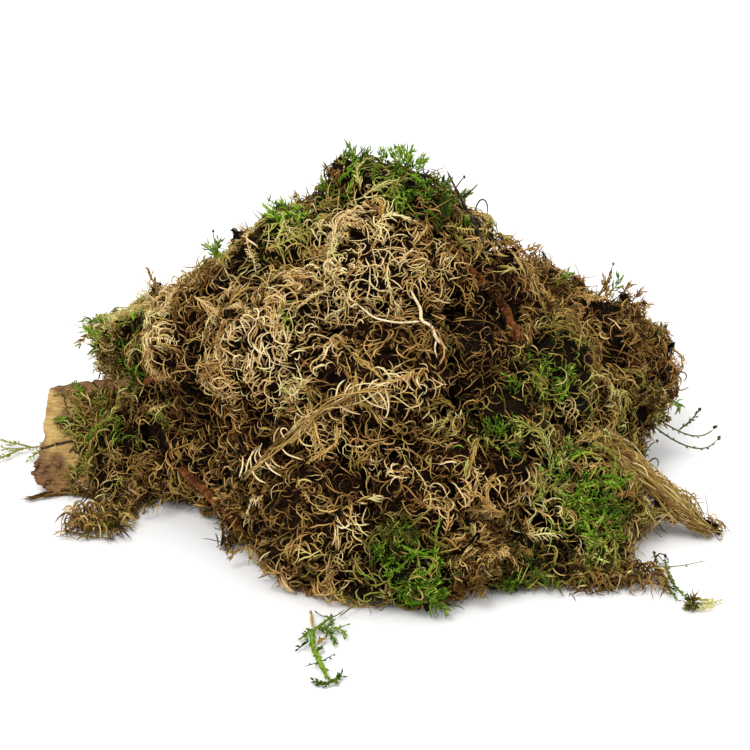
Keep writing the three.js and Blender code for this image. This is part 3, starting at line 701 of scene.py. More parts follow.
# %% From a tangle to a mesh
def strand_mesh(name, tangle, skin_nodes=thin_skin, low=0.0):
    chains = bpy.data.meshes.new(name)
    chains.from_pydata(np.concatenate(tangle.points), np.concatenate(tangle.edges), [])
    for key, values in tangle.numbers.items():
        chains.attributes.new(key, "FLOAT", "POINT").data.foreach_set("value", np.concatenate(values))
    thing = linked(name, chains)
    thing.modifiers.new("Skin", "NODES").node_group = skin_nodes
    mesh = finished(thing)
    strip_uv(mesh, tangle.count, low)
    return mesh


print("numbers kept for each point:", *STRAND_NUMBERS)

# %% [markdown]
# A strand is laid out in the plane that touches the skin at its root: it starts along a heading, takes
# equal steps and turns a little at each. Equal turns make a C, changing turns an S, growing turns a hook.
# Its heights lift it off the skin, and its loose end sags.

# %% Lay strands out
def headings(roots, combed, spread):
    """A direction along the skin at each root: combed by slow noise, with some spread."""
    flow = np.array([noise.noise_vector(Vector(p) * combed) for p in roots.place])
    flow /= np.linalg.norm(flow, axis=1)[:, None] + 1e-9
    flow += numbers.normal(0, spread, flow.shape)
    flow -= roots.normal * (flow * roots.normal).sum(axis=1)[:, None]
    return flow / (np.linalg.norm(flow, axis=1)[:, None] + 1e-9)


def laid(roots, heading, turns, reach, heights, sag=0.0, middle=True):
    """The points of a strand at each root."""
    count, length = turns.shape
    side = np.cross(roots.normal, heading)
    angle = np.cumsum(turns, axis=1)[..., None]
    steps = heading[:, None, :] * np.cos(angle) + side[:, None, :] * np.sin(angle)
    path = np.cumsum(steps, axis=1) * (reach / length)[:, None, None]
    path -= path[:, length // 2 if middle else 0][:, None, :]
    share = np.linspace(0, 1, length)
    path = roots.place[:, None, :] + path + roots.normal[:, None, :] * heights[..., None]
    path[..., 2] -= np.asarray(sag)[..., None] * share**2
    return path


def arch(count, length, low, top, end):
    """Heights that start under the skin, rise and come down again."""
    share = np.linspace(0, 1, length)[None, :]
    rise = np.sin(np.pi * np.clip(share * 1.05, 0, 1))
    return low[:, None] * (1 - share) ** 3 + top[:, None] * rise + end[:, None] * share**3


DEEPEST = 0.13 # no strand is darker than this
HOLLOW_SHADE = 0.72 # the light that a hollow takes away
LIT_HEIGHT = 9 * MM # a point raised by this much would be lit fully


def lit(roots, heights, floor, gain):
    """How much painted light each point gets: deep roots and dark hollows get a painted shade, raised points do
    not.
    """
    base = floor + gain * roots.open[:, None] + np.clip(heights, -1 * MM, 4 * MM) / LIT_HEIGHT
    return np.clip(base * (1 - HOLLOW_SHADE * roots.dark[:, None]), DEEPEST, 1)


print("a hollow takes away", round(100 * HOLLOW_SHADE), "% of the light")

# %% [markdown]
# ### The thatch
#
# Lowest lies a thatch of short dark strands, pressed into the bed. It is what one sees between the
# bright strands on top.

# %% Thatch
THATCH = 25000
THATCH_POINTS = 5
THATCH_DARKER = 0.16
DRIED = 0.35 # the share of strands that have dried, also where the moss is green


def fresh(count):
    return (numbers.random(count) > DRIED) * 1.0


def grow_thatch(roots):
    count = len(roots)
    turns = numbers.normal(0, 0.5, (count, 1)) + numbers.normal(0, 0.35, (count, THATCH_POINTS))
    rise = arch(count, THATCH_POINTS, np.full(count, -0.7 * MM), millimetres(0.1, 1.6, count),
                millimetres(-0.8, 0.8, count))
    paths = laid(roots, headings(roots, 60, 0.9), turns, millimetres(3.5, 8, count), rise)
    # The thatch is darker in tone, and its low light values give it a painted shade as well.
    plant(roots, paths, radius=millimetres(0.2, 0.36, count),
          tone=roots.tone - THATCH_DARKER + numbers.normal(0, 0.12, count),
          green=roots.green + numbers.normal(0, 0.15, count), opens=lit(roots, rise, 0.03, 0.3))


grow_thatch(skin_roots(THATCH))
print("thatch:", THATCH, "strands")

# %% [markdown]
# ### Locks
#
# Many strands on top lie in locks: a few side by side with nearly the same turns, as they grew on one
# shoot. The lock is what is scattered. Its strands differ a little in place, length and tone.

# %% Locks
LOCKS = 3100
LOCK_STRANDS = (2, 8)
LOCK_POINTS = 7
LOCK_RADIUS = (0.21, 0.37)


def grow_locks(lock_roots):
    locks = len(lock_roots)
    sizes = numbers.integers(*LOCK_STRANDS, locks)
    lock = np.repeat(np.arange(locks), sizes)
    count = len(lock)
    roots = lock_roots.of(lock)
    heads = headings(lock_roots, 45, 0.6)[lock] + numbers.normal(0, 0.2, (count, 3))
    heads -= roots.normal * (heads * roots.normal).sum(axis=1)[:, None]
    heads /= np.linalg.norm(heads, axis=1)[:, None]
    rank = np.arange(count) - np.repeat(np.cumsum(sizes) - sizes, sizes) - sizes[lock] / 2
    beside = np.cross(roots.normal, heads) * (rank * millimetres(0.4, 1.2, count))[:, None]
    roots.place = roots.place + beside + heads * (numbers.normal(0, 1.2, count) * MM)[:, None]
    curl = (numbers.normal(0, 2.7, locks) / LOCK_POINTS)[lock] * numbers.uniform(0.6, 1.4, count)
    hook = numbers.normal(0, 0.2, locks)[lock]
    turns = curl[:, None] + hook[:, None] * (np.arange(LOCK_POINTS) - 3)
    turns = turns + numbers.normal(0, 0.22, (count, LOCK_POINTS))
    reach = numbers.uniform(5, 13, locks)[lock] * millimetres(0.7, 1.25, count)
    top = numbers.uniform(0.5, 3.4, locks)[lock] * millimetres(0.5, 1.5, count)
    rise = arch(count, LOCK_POINTS, np.full(count, -0.8 * MM), top, millimetres(-0.8, 2.6, count))
    paths = laid(roots, heads, turns, reach, rise, sag=millimetres(0, 1.6, count))
    tone = roots.tone + numbers.normal(0, 0.16, locks)[lock] + numbers.normal(0, 0.1, count)
    green = (roots.green * fresh(locks)[lock]) + numbers.normal(0, 0.2, locks)[lock]
    plant(roots, paths, millimetres(*LOCK_RADIUS, count), tone, green, lit(roots, rise, 0.05, 0.7))
    return count


THIN_WHEN_FLAT, THICK_WHEN_BRIGHT = 0.3, 3

thick_here = (1.05 - hollow_shade_values) * (1 - THIN_WHEN_FLAT * flat_values) * (1 + THICK_WHEN_BRIGHT * bright_values)
print("locks:", grow_locks(skin_roots(LOCKS, want=thick_here)), "strands")

# %% [markdown]
# ### Curls and flyaways
#
# Single curled strands lie across the locks in every direction, and others stand off the heap. They
# tangle it, blur its outline and catch the light.

# %% Curls and flyaways
CURLS = 5800
DEEP_CURLS = 3600 # finer ones, in the dark hollows
DEEPER = 1.2 # millimetres that they start under the skin
LESS_DARK = 0.75
FLYAWAYS = 3200
CURL_POINTS = 7
COMBED = 45 # how fast the direction of neighbours changes, in waves to a metre


def grow_curls(roots, thick=(0.17, 0.36)):
    count = len(roots)
    share = np.linspace(-1, 1, CURL_POINTS)[None, :]
    turns = numbers.normal(0, 0.5, (count, 1)) + numbers.normal(0, 0.4, (count, 1)) * share
    turns = turns + numbers.normal(0, 0.22, (count, CURL_POINTS))
    rise = arch(count, CURL_POINTS, np.full(count, -0.5 * MM), millimetres(0.8, 3.6, count),
                millimetres(-1, 3, count))
    paths = laid(roots, headings(roots, COMBED, 3.0), turns, millimetres(5, 15, count), rise)
    plant(roots, paths, radius=millimetres(*thick, count),
          tone=roots.tone + numbers.normal(0.05, 0.15, count),
          green=roots.green * fresh(count) + numbers.normal(0, 0.2, count), opens=lit(roots, rise, 0.1, 0.72))


def grow_flyaways(roots, height=(2, 7)):
    """Strands that start under the skin and stand off it with their free end."""
    count = len(roots)
    share = np.linspace(0, 1, CURL_POINTS)[None, :]
    turns = numbers.normal(0, 0.38, (count, 1)) + numbers.normal(0, 0.2, (count, CURL_POINTS))
    top = numbers.uniform(*height, count)[:, None] * MM
    rise = top * share ** numbers.uniform(0.6, 1.4, (count, 1)) - 0.8 * MM
    heads = headings(roots, COMBED, 1.2)
    paths = laid(roots, heads, turns, millimetres(6, 13, count), rise, middle=False)
    plant(roots, paths, radius=millimetres(0.15, 0.28, count),
          tone=roots.tone + numbers.normal(0.04, 0.15, count),
          green=roots.green * fresh(count) + numbers.normal(0, 0.2, count), opens=lit(roots, rise, 0.35, 0.6))


grow_curls(skin_roots(CURLS, want=thick_here))
deep_roots = skin_roots(DEEP_CURLS, want=hollow_shade_values)
deep_roots.place = deep_roots.place - deep_roots.normal * DEEPER * MM
deep_roots.dark = deep_roots.dark * LESS_DARK
grow_curls(deep_roots, thick=(0.13, 0.26))
grow_flyaways(skin_roots(FLYAWAYS, want=thick_here))
print("curls and flyaways:", CURLS + DEEP_CURLS + FLYAWAYS)

# %% [markdown]
# ### Feather shoots
#
# A dried shoot keeps its form: a stem with short branches on both sides, all curled the same way. A long
# stem must follow the heap, so it crawls: after each step it looks for the nearest place on the skin.

# %% Feather shoots
SHOOTS = 390
STEM_POINTS = 9
BRANCH_POINTS = 5
STEM_HEIGHT, BRANCH_HEIGHT = 3 * MM, 2 * MM # over the skin, for how light they are


def crawled(ground, spot, heading, stride, turns, heights):
    """A chain over the ground, with the ground's normal at each point."""
    chain = []
    normals = []
    for turn, height in zip(turns, heights):
        place, normal, _, _ = ground.find_nearest(spot)
        chain.append(place + normal * height)
        normals.append(normal)
        heading = heading - normal * heading.dot(normal)
        heading.rotate(Quaternion(normal, turn))
        heading.normalize()
        spot = place + heading * stride
    return np.array(chain), np.array(normals)


def grow_shoots(roots, lengths, tones, greens, branch=(3.5, 7.5), points=STEM_POINTS, ground=skin):
    """A stem at each root, and branches on both sides of it."""
    heads = headings(roots, 30, 0.5)
    stems = []
    stem_normals = []
    for k in range(len(roots)):
        bend = chance.gauss(0, 0.12)
        turns = [bend + chance.gauss(0, 0.12) for _ in range(points)]
        top = chance.uniform(1.2, 3.6) * MM
        heights = [top * (0.35 + 0.65 * math.sin(math.pi * (i + 1) / points)) for i in range(points)]
        stem, normals = crawled(ground, Vector(roots.place[k]), Vector(heads[k]), lengths[k] / points, turns,
                                heights)
        stems.append(stem)
        stem_normals.append(normals)
    stems = np.array(stems)
    stem_normals = np.array(stem_normals)
    opens = lit(roots, np.full((len(roots), points), STEM_HEIGHT), 0.3, 0.6)
    plant(roots, stems, numbers.uniform(0.36, 0.52, len(roots)) * MM, tones, greens, opens, waist=0.4)
    ahead = np.gradient(stems, axis=1)
    ahead /= np.linalg.norm(ahead, axis=2)[..., None]
    lean = numbers.uniform(0.7, 1.25, len(roots))
    curl = numbers.normal(0.28, 0.2, len(roots))
    size = numbers.uniform(*branch, len(roots)) * MM
    for at in np.arange(1, points - 1, 0.5):
        low = int(at)
        mix = at - low
        for hand in (-1, 1):
            place = stems[:, low] * (1 - mix) + stems[:, low + 1] * mix
            forward = ahead[:, low]
            normal = stem_normals[:, low]
            twig = Roots(place=place, normal=normal, owner=roots.owner, open=roots.open, dark=roots.dark)
            across = np.cross(normal, forward)
            heading = forward * np.cos(lean)[:, None] + across * (hand * np.sin(lean))[:, None]
            count = len(roots)
            reach = size * (1.1 - 0.6 * at / points) * numbers.uniform(0.7, 1.2, count)
            turns = -hand * (curl[:, None] + numbers.normal(0, 0.12, (count, BRANCH_POINTS)))
            rise = arch(count, BRANCH_POINTS, np.zeros(count), millimetres(-0.6, 1.4, count),
                        millimetres(-1.6, 0.8, count))
            paths = laid(twig, heading, turns, reach, rise, sag=0.1 * reach, middle=False)
            plant(twig, paths, radius=millimetres(0.18, 0.28, count),
                  tone=tones + numbers.normal(0.02, 0.05, count), green=greens,
                  opens=lit(roots, rise + BRANCH_HEIGHT, 0.25, 0.6))


roots = skin_roots(SHOOTS, want=thick_here)
grow_shoots(roots, numbers.uniform(14, 28, SHOOTS) * MM, roots.tone + numbers.normal(0.08, 0.1, SHOOTS),
            roots.green + numbers.normal(0, 0.2, SHOOTS))
print("shoots:", SHOOTS)

# %% [markdown]
# ### Living moss
#
# In the green patches the moss is alive. Its shoots are small feathers as well, with short branches, and
# between them stalks stand up that carry many tiny pointed leaves. A leaf is a very short strand, thick in
# its middle, so it costs a dozen triangles.

# %% Green shoots, stalks and leaves
GREEN_SHOOTS = 150
STALKS = 340
STALK_POINTS = 5
STALK_RADIUS = 0.24 * MM
LEAVES = 9 # on each stalk
GREEN_CURLS = 600

roots = skin_roots(GREEN_SHOOTS, want=leafy_values**2)
grow_shoots(roots, lengths=numbers.uniform(6, 14, GREEN_SHOOTS) * MM,
            tones=roots.tone + numbers.normal(0.12, 0.12, GREEN_SHOOTS),
            greens=roots.green + numbers.normal(0.4, 0.14, GREEN_SHOOTS), branch=(1.8, 3.6), points=7)


def grow_stalks(roots, length, lean=0.6):
    """Stalks that stand up from their roots, with leaves around them."""
    count = len(roots)
    heads = headings(roots, 45, 1.0)
    up = roots.normal + np.array([0, 0, 0.4])
    way = up + heads * numbers.uniform(0, 2 * lean, count)[:, None]
    way /= np.linalg.norm(way, axis=1)[:, None]
    bend = heads * numbers.uniform(0, 0.5, count)[:, None]
    share = np.linspace(0, 1, STALK_POINTS)[None, :, None]
    curve = way[:, None, :] * share + bend[:, None, :] * share**2
    stems = roots.place[:, None, :] + length[:, None, None] * curve
    tone = roots.tone + numbers.normal(0.02, 0.18, count)
    green = roots.green + numbers.normal(0.42, 0.2, count)
    # Painted light: a stalk is lighter where the skin lies open and towards its tip, and darker in the hollows;
    # its leaves take the light of its tip.
    stalk_light = np.clip(0.2 + 0.45 * roots.open[:, None] + 0.4 * share[..., 0], 0, 1)
    stalk_light = stalk_light * (1 - 0.6 * roots.dark[:, None])
    plant(roots, stems, np.full(count, STALK_RADIUS), tone, green, stalk_light)
    for k in range(LEAVES):
        at = (k + 1.5) / (LEAVES + 1)
        place = roots.place + length[:, None] * (way * at + bend * at**2)
        out = numbers.normal(0, 1, (count, 3))
        out -= way * (out * way).sum(axis=1)[:, None]
        out /= np.linalg.norm(out, axis=1)[:, None]
        size = numbers.uniform(1.6, 3.8, count)[:, None] * MM
        middle = place + size * (0.4 * out + 0.4 * way)
        leaf = np.stack([place, middle, place + size * (0.7 * out + 0.95 * way)], axis=1)
        leaf_light = stalk_light[:, -1:] * (0.7 + 0.3 * at)
        plant(roots, leaf, radius=millimetres(0.18, 0.36, count),
              tone=tone + numbers.normal(0, 0.14, count), green=green,
              opens=np.broadcast_to(leaf_light, (count, 3)), waist=0)


roots = skin_roots(STALKS, want=leafy_values**2)
grow_stalks(roots, numbers.uniform(2.5, 7, STALKS) * MM)
print("leaves:", STALKS * LEAVES)

# %% [markdown]
# Living moss also sends out bare green threads, which curl like the dry ones. And where the heap meets
# the table, a fringe of strands lies flat and points outwards, so that its foot is ragged and not round.

# %% Green threads and the fringe at the foot
GREENER = 0.5
FRINGE = 1500
FOOT_HEIGHT = 7 * MM
FRINGE_POINTS = 6
UNDER_HEAP = 2.5 # millimetres that a strand starts inside the foot

roots = skin_roots(GREEN_CURLS, want=leafy_values**2)
roots.green = roots.green + GREENER
grow_curls(roots)


def grow_fringe(roots):
    """Strands that run from the foot of the heap out over the table."""
    count = len(roots)
    out = roots.normal * [1, 1, 0] + numbers.normal(0, 1.0, (count, 3)) * [1, 1, 0]
    out /= np.linalg.norm(out, axis=1)[:, None]
    start = roots.place[:, 2].copy()
    roots.place = roots.place * [1, 1, 0] - out * UNDER_HEAP * MM
    roots.normal = np.broadcast_to(np.array([0.0, 0.0, 1.0]), roots.place.shape)
    share = np.linspace(0, 1, FRINGE_POINTS)[None, :]
    rise = start[:, None] * (1 - share) ** 1.5 + numbers.uniform(0.3, 2.5, (count, 1)) * MM
    turns = numbers.normal(0, 0.42, (count, 1)) + numbers.normal(0, 0.3, (count, FRINGE_POINTS))
    paths = laid(roots, out, turns, millimetres(5, 13, count), rise, middle=False)
    opens = numbers.uniform(0.3, 0.8, (count, 1)) + 0 * rise
    plant(roots, paths, radius=millimetres(0.15, 0.3, count),
          tone=roots.tone + numbers.normal(-0.1, 0.15, count),
          green=roots.green * fresh(count) + numbers.normal(0, 0.2, count), opens=opens)


at_foot = np.array([v.co.z for v in skin_mesh.vertices]) < FOOT_HEIGHT
at_foot = at_foot * np.clip(1.2 - dent_values / 4, 0.1, 1) # the dents of the foot stay bare
grow_fringe(skin_roots(FRINGE, want=at_foot))
print("fringe:", FRINGE, "strands")

# %% [markdown]
# The two flat wads are not balls but loose litter: strands that fell on the table and lie over one
# another, so that the table shows through. They are scattered round the wad's middle and lie any way.

# %% Litter on the table
LITTER = { # how many strands, and how far they spread to the side and in depth, in millimetres
    "wad_shed_left": (210, (7, 6)), "wad_shed_right": (330, (12, 4.5)),
}
FARTHEST = 1.5 # times the spread to the side


def grow_litter(node, count, spread):
    place = numbers.normal(0, 1, (count, 3)) * [spread[0] * MM, spread[1] * MM, 0]
    place = np.clip(place, -FARTHEST * spread[0] * MM, FARTHEST * spread[0] * MM) + np.array(FLAT_WADS[node][0])
    level = np.zeros(count)
    roots = Roots(place=place, normal=np.tile([0.0, 0.0, 1.0], (count, 1)), open=level + 0.5, dark=level,
                  owner=level.astype(int) + nodes.index(node), tone=level + 0.34, green=level + 0.1)
    turns = numbers.normal(0, 0.35, (count, 1)) + numbers.normal(0, 0.4, (count, CURL_POINTS))
    rise = arch(count, CURL_POINTS, level + MM, millimetres(0.3, 7, count),
                millimetres(0.4, 4, count))
    paths = laid(roots, headings(roots, COMBED, 3.0), turns, millimetres(5, 14, count), rise)
    plant(roots, paths, radius=millimetres(0.18, 0.42, count),
          tone=roots.tone + numbers.normal(0, 0.2, count),
          green=roots.green + numbers.normal(0, 0.25, count), opens=lit(roots, rise, 0.15, 0.5))


for node, (count, spread) in LITTER.items():
    grow_litter(node, count, spread)
print("litter:", sum(count for count, _ in LITTER.values()), "strands")


# %% [markdown]
# ## Finishes
#
# Shader maths reads better as sums than as boxes and wires. Wire holds one socket and adds a Math node
# for each sign that it is used with. Finish holds a material and adds any other node.

# %% Wires and finishes
class Wire:
    def __init__(self, finish, socket):
        self.finish = finish
        self.socket = socket

    def maths(self, operation, *values):
        return self.finish.node("ShaderNodeMath", {"operation": operation}, *values)

    def __add__(self, other):
        return self.maths("ADD", self, other)

    def __sub__(self, other):
        return self.maths("SUBTRACT", self, other)

    def __rsub__(self, other):
        return self.maths("SUBTRACT", other, self)

    def __mul__(self, other):
        return self.maths("MULTIPLY", self, other)

    __radd__ = __add__
    __rmul__ = __mul__


class Finish:
    def __init__(self, name):
        self.material = bpy.data.materials.new(name)
        self.material.use_nodes = True
        self.tree = self.material.node_tree
        self.shader = self.tree.nodes["Principled BSDF"]

    def plug(self, value, socket):
        if isinstance(value, Wire):
            self.tree.links.new(value.socket, socket)
        elif value is not None:
            socket.default_value = value

    def node(self, kind, settings, *values, out=0, **named):
        box = self.tree.nodes.new(kind)
        stops = settings.pop("stops", None)
        for key, value in settings.items():
            setattr(box, key, value)
        if stops:
            ramp = box.color_ramp
            while len(ramp.elements) < len(stops):
                ramp.elements.new(0.5)
            for element, (position, colour) in zip(ramp.elements, stops):
                element.position = position
                element.color = (*colour, 1)
        for socket, value in zip(box.inputs, values):
            self.plug(value, socket)
        for name, value in named.items():
            self.plug(value, box.inputs[name.replace("_", " ")])
        return Wire(self, box.outputs[out])

    def attribute(self, name):
        return self.node("ShaderNodeAttribute", {"attribute_name": name}, out="Fac")

    def ramp(self, value, stops):
        return self.node("ShaderNodeValToRGB", {"stops": stops}, value)

    def mixed(self, share, one, other, blend="MIX"):
        box = self.tree.nodes.new("ShaderNodeMix")
        box.data_type = "RGBA"
        box.blend_type = blend
        self.plug(share, box.inputs[0])
        self.plug(one, box.inputs[6])
        self.plug(other, box.inputs[7])
        return Wire(self, box.outputs[2])

    def noise(self, scale, detail=2.0):
        place = self.node("ShaderNodeTexCoord", {}, out="Object")
        return self.node("ShaderNodeTexNoise", {}, Vector=place, Scale=scale, Detail=detail, out="Fac")


def linear(text):
    """A colour written as six hex digits, in the numbers that shaders use."""
    parts = [int(text[i : i + 2], 16) / 255 for i in (0, 2, 4)]
    return tuple(p / 12.92 if p <= 0.04045 else ((p + 0.055) / 1.055) ** 2.4 for p in parts)


def scale(text):
    """The stops of a scale of colours, from their places and hex digits."""
    return [(float(place), linear(colour)) for place, colour in (stop.split() for stop in text.split(", "))]


print("straw is", [round(part, 2) for part in linear("cfa864")])

# %% [markdown]
# All moss has one finish. Its colour runs from the dark brown of old strands, over tan, to the pale straw of
# strands that dried in the light. Beside that run a scale of greens for living strands and one of rusty browns
# for those whose greenness is below nothing. The tone of a strand picks its place on all three, its greenness
# mixes them, and a painted shade darkens what lies deep, by how open it lies.

# %% The moss finish
STRAW_SCALE = scale("0.0 28170a, 0.25 664620, 0.45 a07a40, 0.65 cfa864, 0.9 efd9a4")
RUSTY_SCALE = scale("0.0 2a130d, 0.3 5a3420, 0.5 8a5f38, 0.75 b98e5c, 1.0 dcbc8c")
GREEN_SCALE = scale("0.0 0f1a06, 0.3 2c4210, 0.55 557a18, 0.8 8cb02e, 1.0 c4d860")
MOTTLE_SCALE, PATCH_SCALE = 900, 38 # specks along a strand, and patches of many strands
DULLNESS = 0.06 # dry moss hardly shines
PAINTED_SHADE_SCALE = [(0.08, (0.018, 0.009, 0.004)), (0.32, (0.3, 0.24, 0.19)), (0.66, (1, 1, 1))]


def moss_finish(name):
    finish = Finish(name)
    mottle = finish.noise(MOTTLE_SCALE, 3)
    patch = finish.noise(PATCH_SCALE, 2)
    tone = finish.attribute("tone") + mottle * 0.2 + patch * 0.3 - 0.25
    dry = finish.ramp(tone, STRAW_SCALE)
    fresh = finish.ramp(tone, GREEN_SCALE)
    green = finish.attribute("green")
    warm = finish.ramp(tone, RUSTY_SCALE)
    colour = finish.mixed(green + mottle * 0.3 - 0.15, finish.mixed(0 - green * 1.6, dry, warm), fresh)
    # Painted shade: the colour is multiplied by a ramp of the openness, nearly to black where a point lies
    # deep.
    painted_shade = finish.ramp(finish.attribute("open"), PAINTED_SHADE_SCALE)
    shaded = finish.mixed(1.0, colour, painted_shade, "MULTIPLY")
    finish.plug(shaded, finish.shader.inputs["Base Color"])
    finish.plug(0.62 + mottle * 0.25, finish.shader.inputs["Roughness"])
    bump = finish.node("ShaderNodeBump", {}, Strength=0.5, Distance=0.0002, Height=mottle)
    finish.plug(bump, finish.shader.inputs["Normal"])
    finish.shader.inputs["Specular IOR Level"].default_value = DULLNESS
    return finish.material


finishes = {slot: moss_finish(slot + "_moss") for slot in ("straw", "brown", "olive", "green")}
print("moss finishes:", sorted(finishes))


# %% [markdown]
# ## The bed under the strands
#
# Between the strands one sees into the wad. The bed is the solid itself, softened by one step of
# subdivision, which rounds its coarse strands as well. It keeps the solid's form and fills its place. What
# stands out of the skin is pressed down to just under it, so that it lies under the fine strands.

# %% Press a spot under the skin
PROUD = -0.6 * MM # what stands higher than this over the skin is pressed down to it
CROSSINGS = 12 # at most this many surfaces of the skin lie over one another
UP = Vector((0, 0, 1))
STEP = 0.01 # millimetres from one crossing to where the next ray starts


def outside(spot):
    """Whether a ray upwards from a spot enters the skin at least as often as it leaves it."""
    leaves = 0
    for _ in range(CROSSINGS):
        place, normal, _, _ = skin.ray_cast(spot, UP)
        if place is None:
            break
        leaves += 1 if normal.z > 0 else -1
        spot = place + UP * STEP * MM
    return leaves <= 0


def pressed(spot):
    """Where a spot of a bed goes, how high it stood over the skin, and how open the skin lies there."""
    near, normal, face, _ = skin.find_nearest(spot)
    height = (spot - near).dot(normal)
    if height > PROUD or outside(spot):
        spot = near + normal * PROUD
    return spot, height, open_values[skin_mesh.polygons[face].vertices[0]]


print("lowest bed:", round(PROUD / MM, 1), "mm over the skin")

# %% [markdown]
# A long edge of a bed would bridge a dent in the skin and show as a flat dark sheet. So each edge that
# stands out between its ends is cut in two, and its new corner is pressed down as well, a few times over.
# How high a corner stood before is kept, because raised corners get a little less painted shade and a lighter
# tone.

# %% Soft copies of the solids
BRIDGE = 1.6 * MM # edges longer than this are cut where they stand out of the skin
BRIDGE_HEIGHT = 0.3 * MM
BRIDGE_CUTS = 3
FULL_RISE = 5 * MM


def bridges(edge):
    """Whether an edge is long and stands out of the skin between its ends."""
    middle = (edge.verts[0].co + edge.verts[1].co) / 2
    return edge.calc_length() > BRIDGE and (pressed(middle)[0] - middle).length > BRIDGE_HEIGHT


def bed_of(node):
    thing = linked(node + "_bed", copy_of(node))
    soften = thing.modifiers.new("Soften", "SUBSURF")
    soften.levels = soften.render_levels = 1
    mesh = finished(thing)
    shape = bmesh.new()
    shape.from_mesh(mesh)
    heights = shape.verts.layers.float.new("height")
    opens = shape.verts.layers.float.new("opens")
    for vertex in shape.verts:
        vertex.co, vertex[heights], vertex[opens] = pressed(drawn_in(vertex.co, node))
    for _ in range(BRIDGE_CUTS):
        long = [edge for edge in shape.edges if bridges(edge)]
        cut = bmesh.ops.subdivide_edges(shape, edges=long, cuts=1, use_grid_fill=True, use_single_edge=True)
        for part in cut["geom_inner"]:
            if isinstance(part, bmesh.types.BMVert):
                part.co = pressed(part.co)[0]
        bmesh.ops.triangulate(shape, faces=[face for face in shape.faces if len(face.verts) > 4])
    shape.to_mesh(mesh)
    shape.free()
    rise = np.clip(values_of(mesh, "height") / FULL_RISE, 0, 1)
    # The bed is nearly black: its low openness gives it a painted shade, a little less where it stood higher,
    # and its tone is darker than the strands'.
    marks = {
        "tone": np.full(len(rise), TONE[slot_of[node]]) * (0.3 + 0.15 * rise),
        "green": np.full(len(rise), GREENNESS[slot_of[node]]) * 0.4,
        "open": np.clip(0.12 * values_of(mesh, "opens") + 0.08 * rise, 0, 1),
        "along": rise,
    }
    for key, values in marks.items():
        mesh.attributes.new(key, "FLOAT", "POINT").data.foreach_set("value", values)
    face_uv(mesh, BED_SHARE)
    return mesh


print("beds are cut up to", BRIDGE_CUTS, "times")

# %% [markdown]
# ## Threads that lie where they are named
#
# Some strands are known one by one: the rootlet, the twig, the longest shoot and the sprigs on the table.
# Each is a smooth line through a few named points. The line is the average of a coarse line with its own
# neighbours, taken a few times, which rounds its corners.

# %% Single threads and leafy stems
def smooth_line(points, count=14, rounds=3):
    """Evenly spaced points on a rounded line through the given ones."""
    points = np.array([tuple(p) for p in points], dtype=float)
    far = np.concatenate([[0], np.cumsum(np.linalg.norm(np.diff(points, axis=0), axis=1))])
    where = np.linspace(0, far[-1], count)
    line = np.stack([np.interp(where, far, points[:, k]) for k in range(3)], axis=1)
    for _ in range(rounds):
        line[1:-1] = (line[:-2] + 2 * line[1:-1] + line[2:]) / 4
    return line


def thread(node, line, radii, tone, green=0.0, opens=0.9):
    """One strand of a named piece. The radii, in millimetres, are spread over its length."""
    share = np.linspace(0, 1, len(line))
    thick = np.interp(share, np.linspace(0, 1, len(radii)), radii) * MM
    thick[[0, -1]] = 0
    tangles[node].add(np.array([line]), radius=thick[None], tone=np.array([[tone]]),
                      green=np.array([[green]]), open=np.full((1, len(line)), opens))


def leafy_stem(node, line, radii, leaves, size, tone, green, first=0.15):
    """A stem with small pointed leaves on all sides."""
    thread(node, line, radii, tone, green)
    for k in range(leaves):
        at = (first + (1 - first) * (k + 0.5) / leaves) * (len(line) - 1)
        low = min(int(at), len(line) - 2)
        place = line[low] + (line[low + 1] - line[low]) * (at - low)
        along = line[low + 1] - line[low]
        along = along / np.linalg.norm(along)
        out = numbers.normal(0, 1, 3)
        out -= along * out.dot(along)
        out /= np.linalg.norm(out)
        long = size * numbers.uniform(0.7, 1.3) * MM
        leaf = [place, place + long * (0.45 * out + 0.4 * along), place + long * (0.75 * out + along)]
        thread(node, leaf, [0, numbers.uniform(0.3, 0.5), 0], tone + numbers.normal(0, 0.08), green)


def on_table(px, py, height=1.2):
    """The place over the table at a pixel of the camera's picture, that many millimetres up."""
    ray = camera_ray(px, py)
    return camera.location + ray * ((height * MM - camera.location.z) / ray.z)


print("a pixel near the foot is", [round(c / MM) for c in on_table(375, 600)], "mm")

# %% [markdown]
# ### The longest shoot
#
# The longest shoot crosses the front of the heap: pale, with a stem like a loose rope and ribs that
# all hook the same way. The rope is a number of threads that wander round the same line, and some of them
# are only a part of it long. Each rib starts at the stem and comes down to the heap.

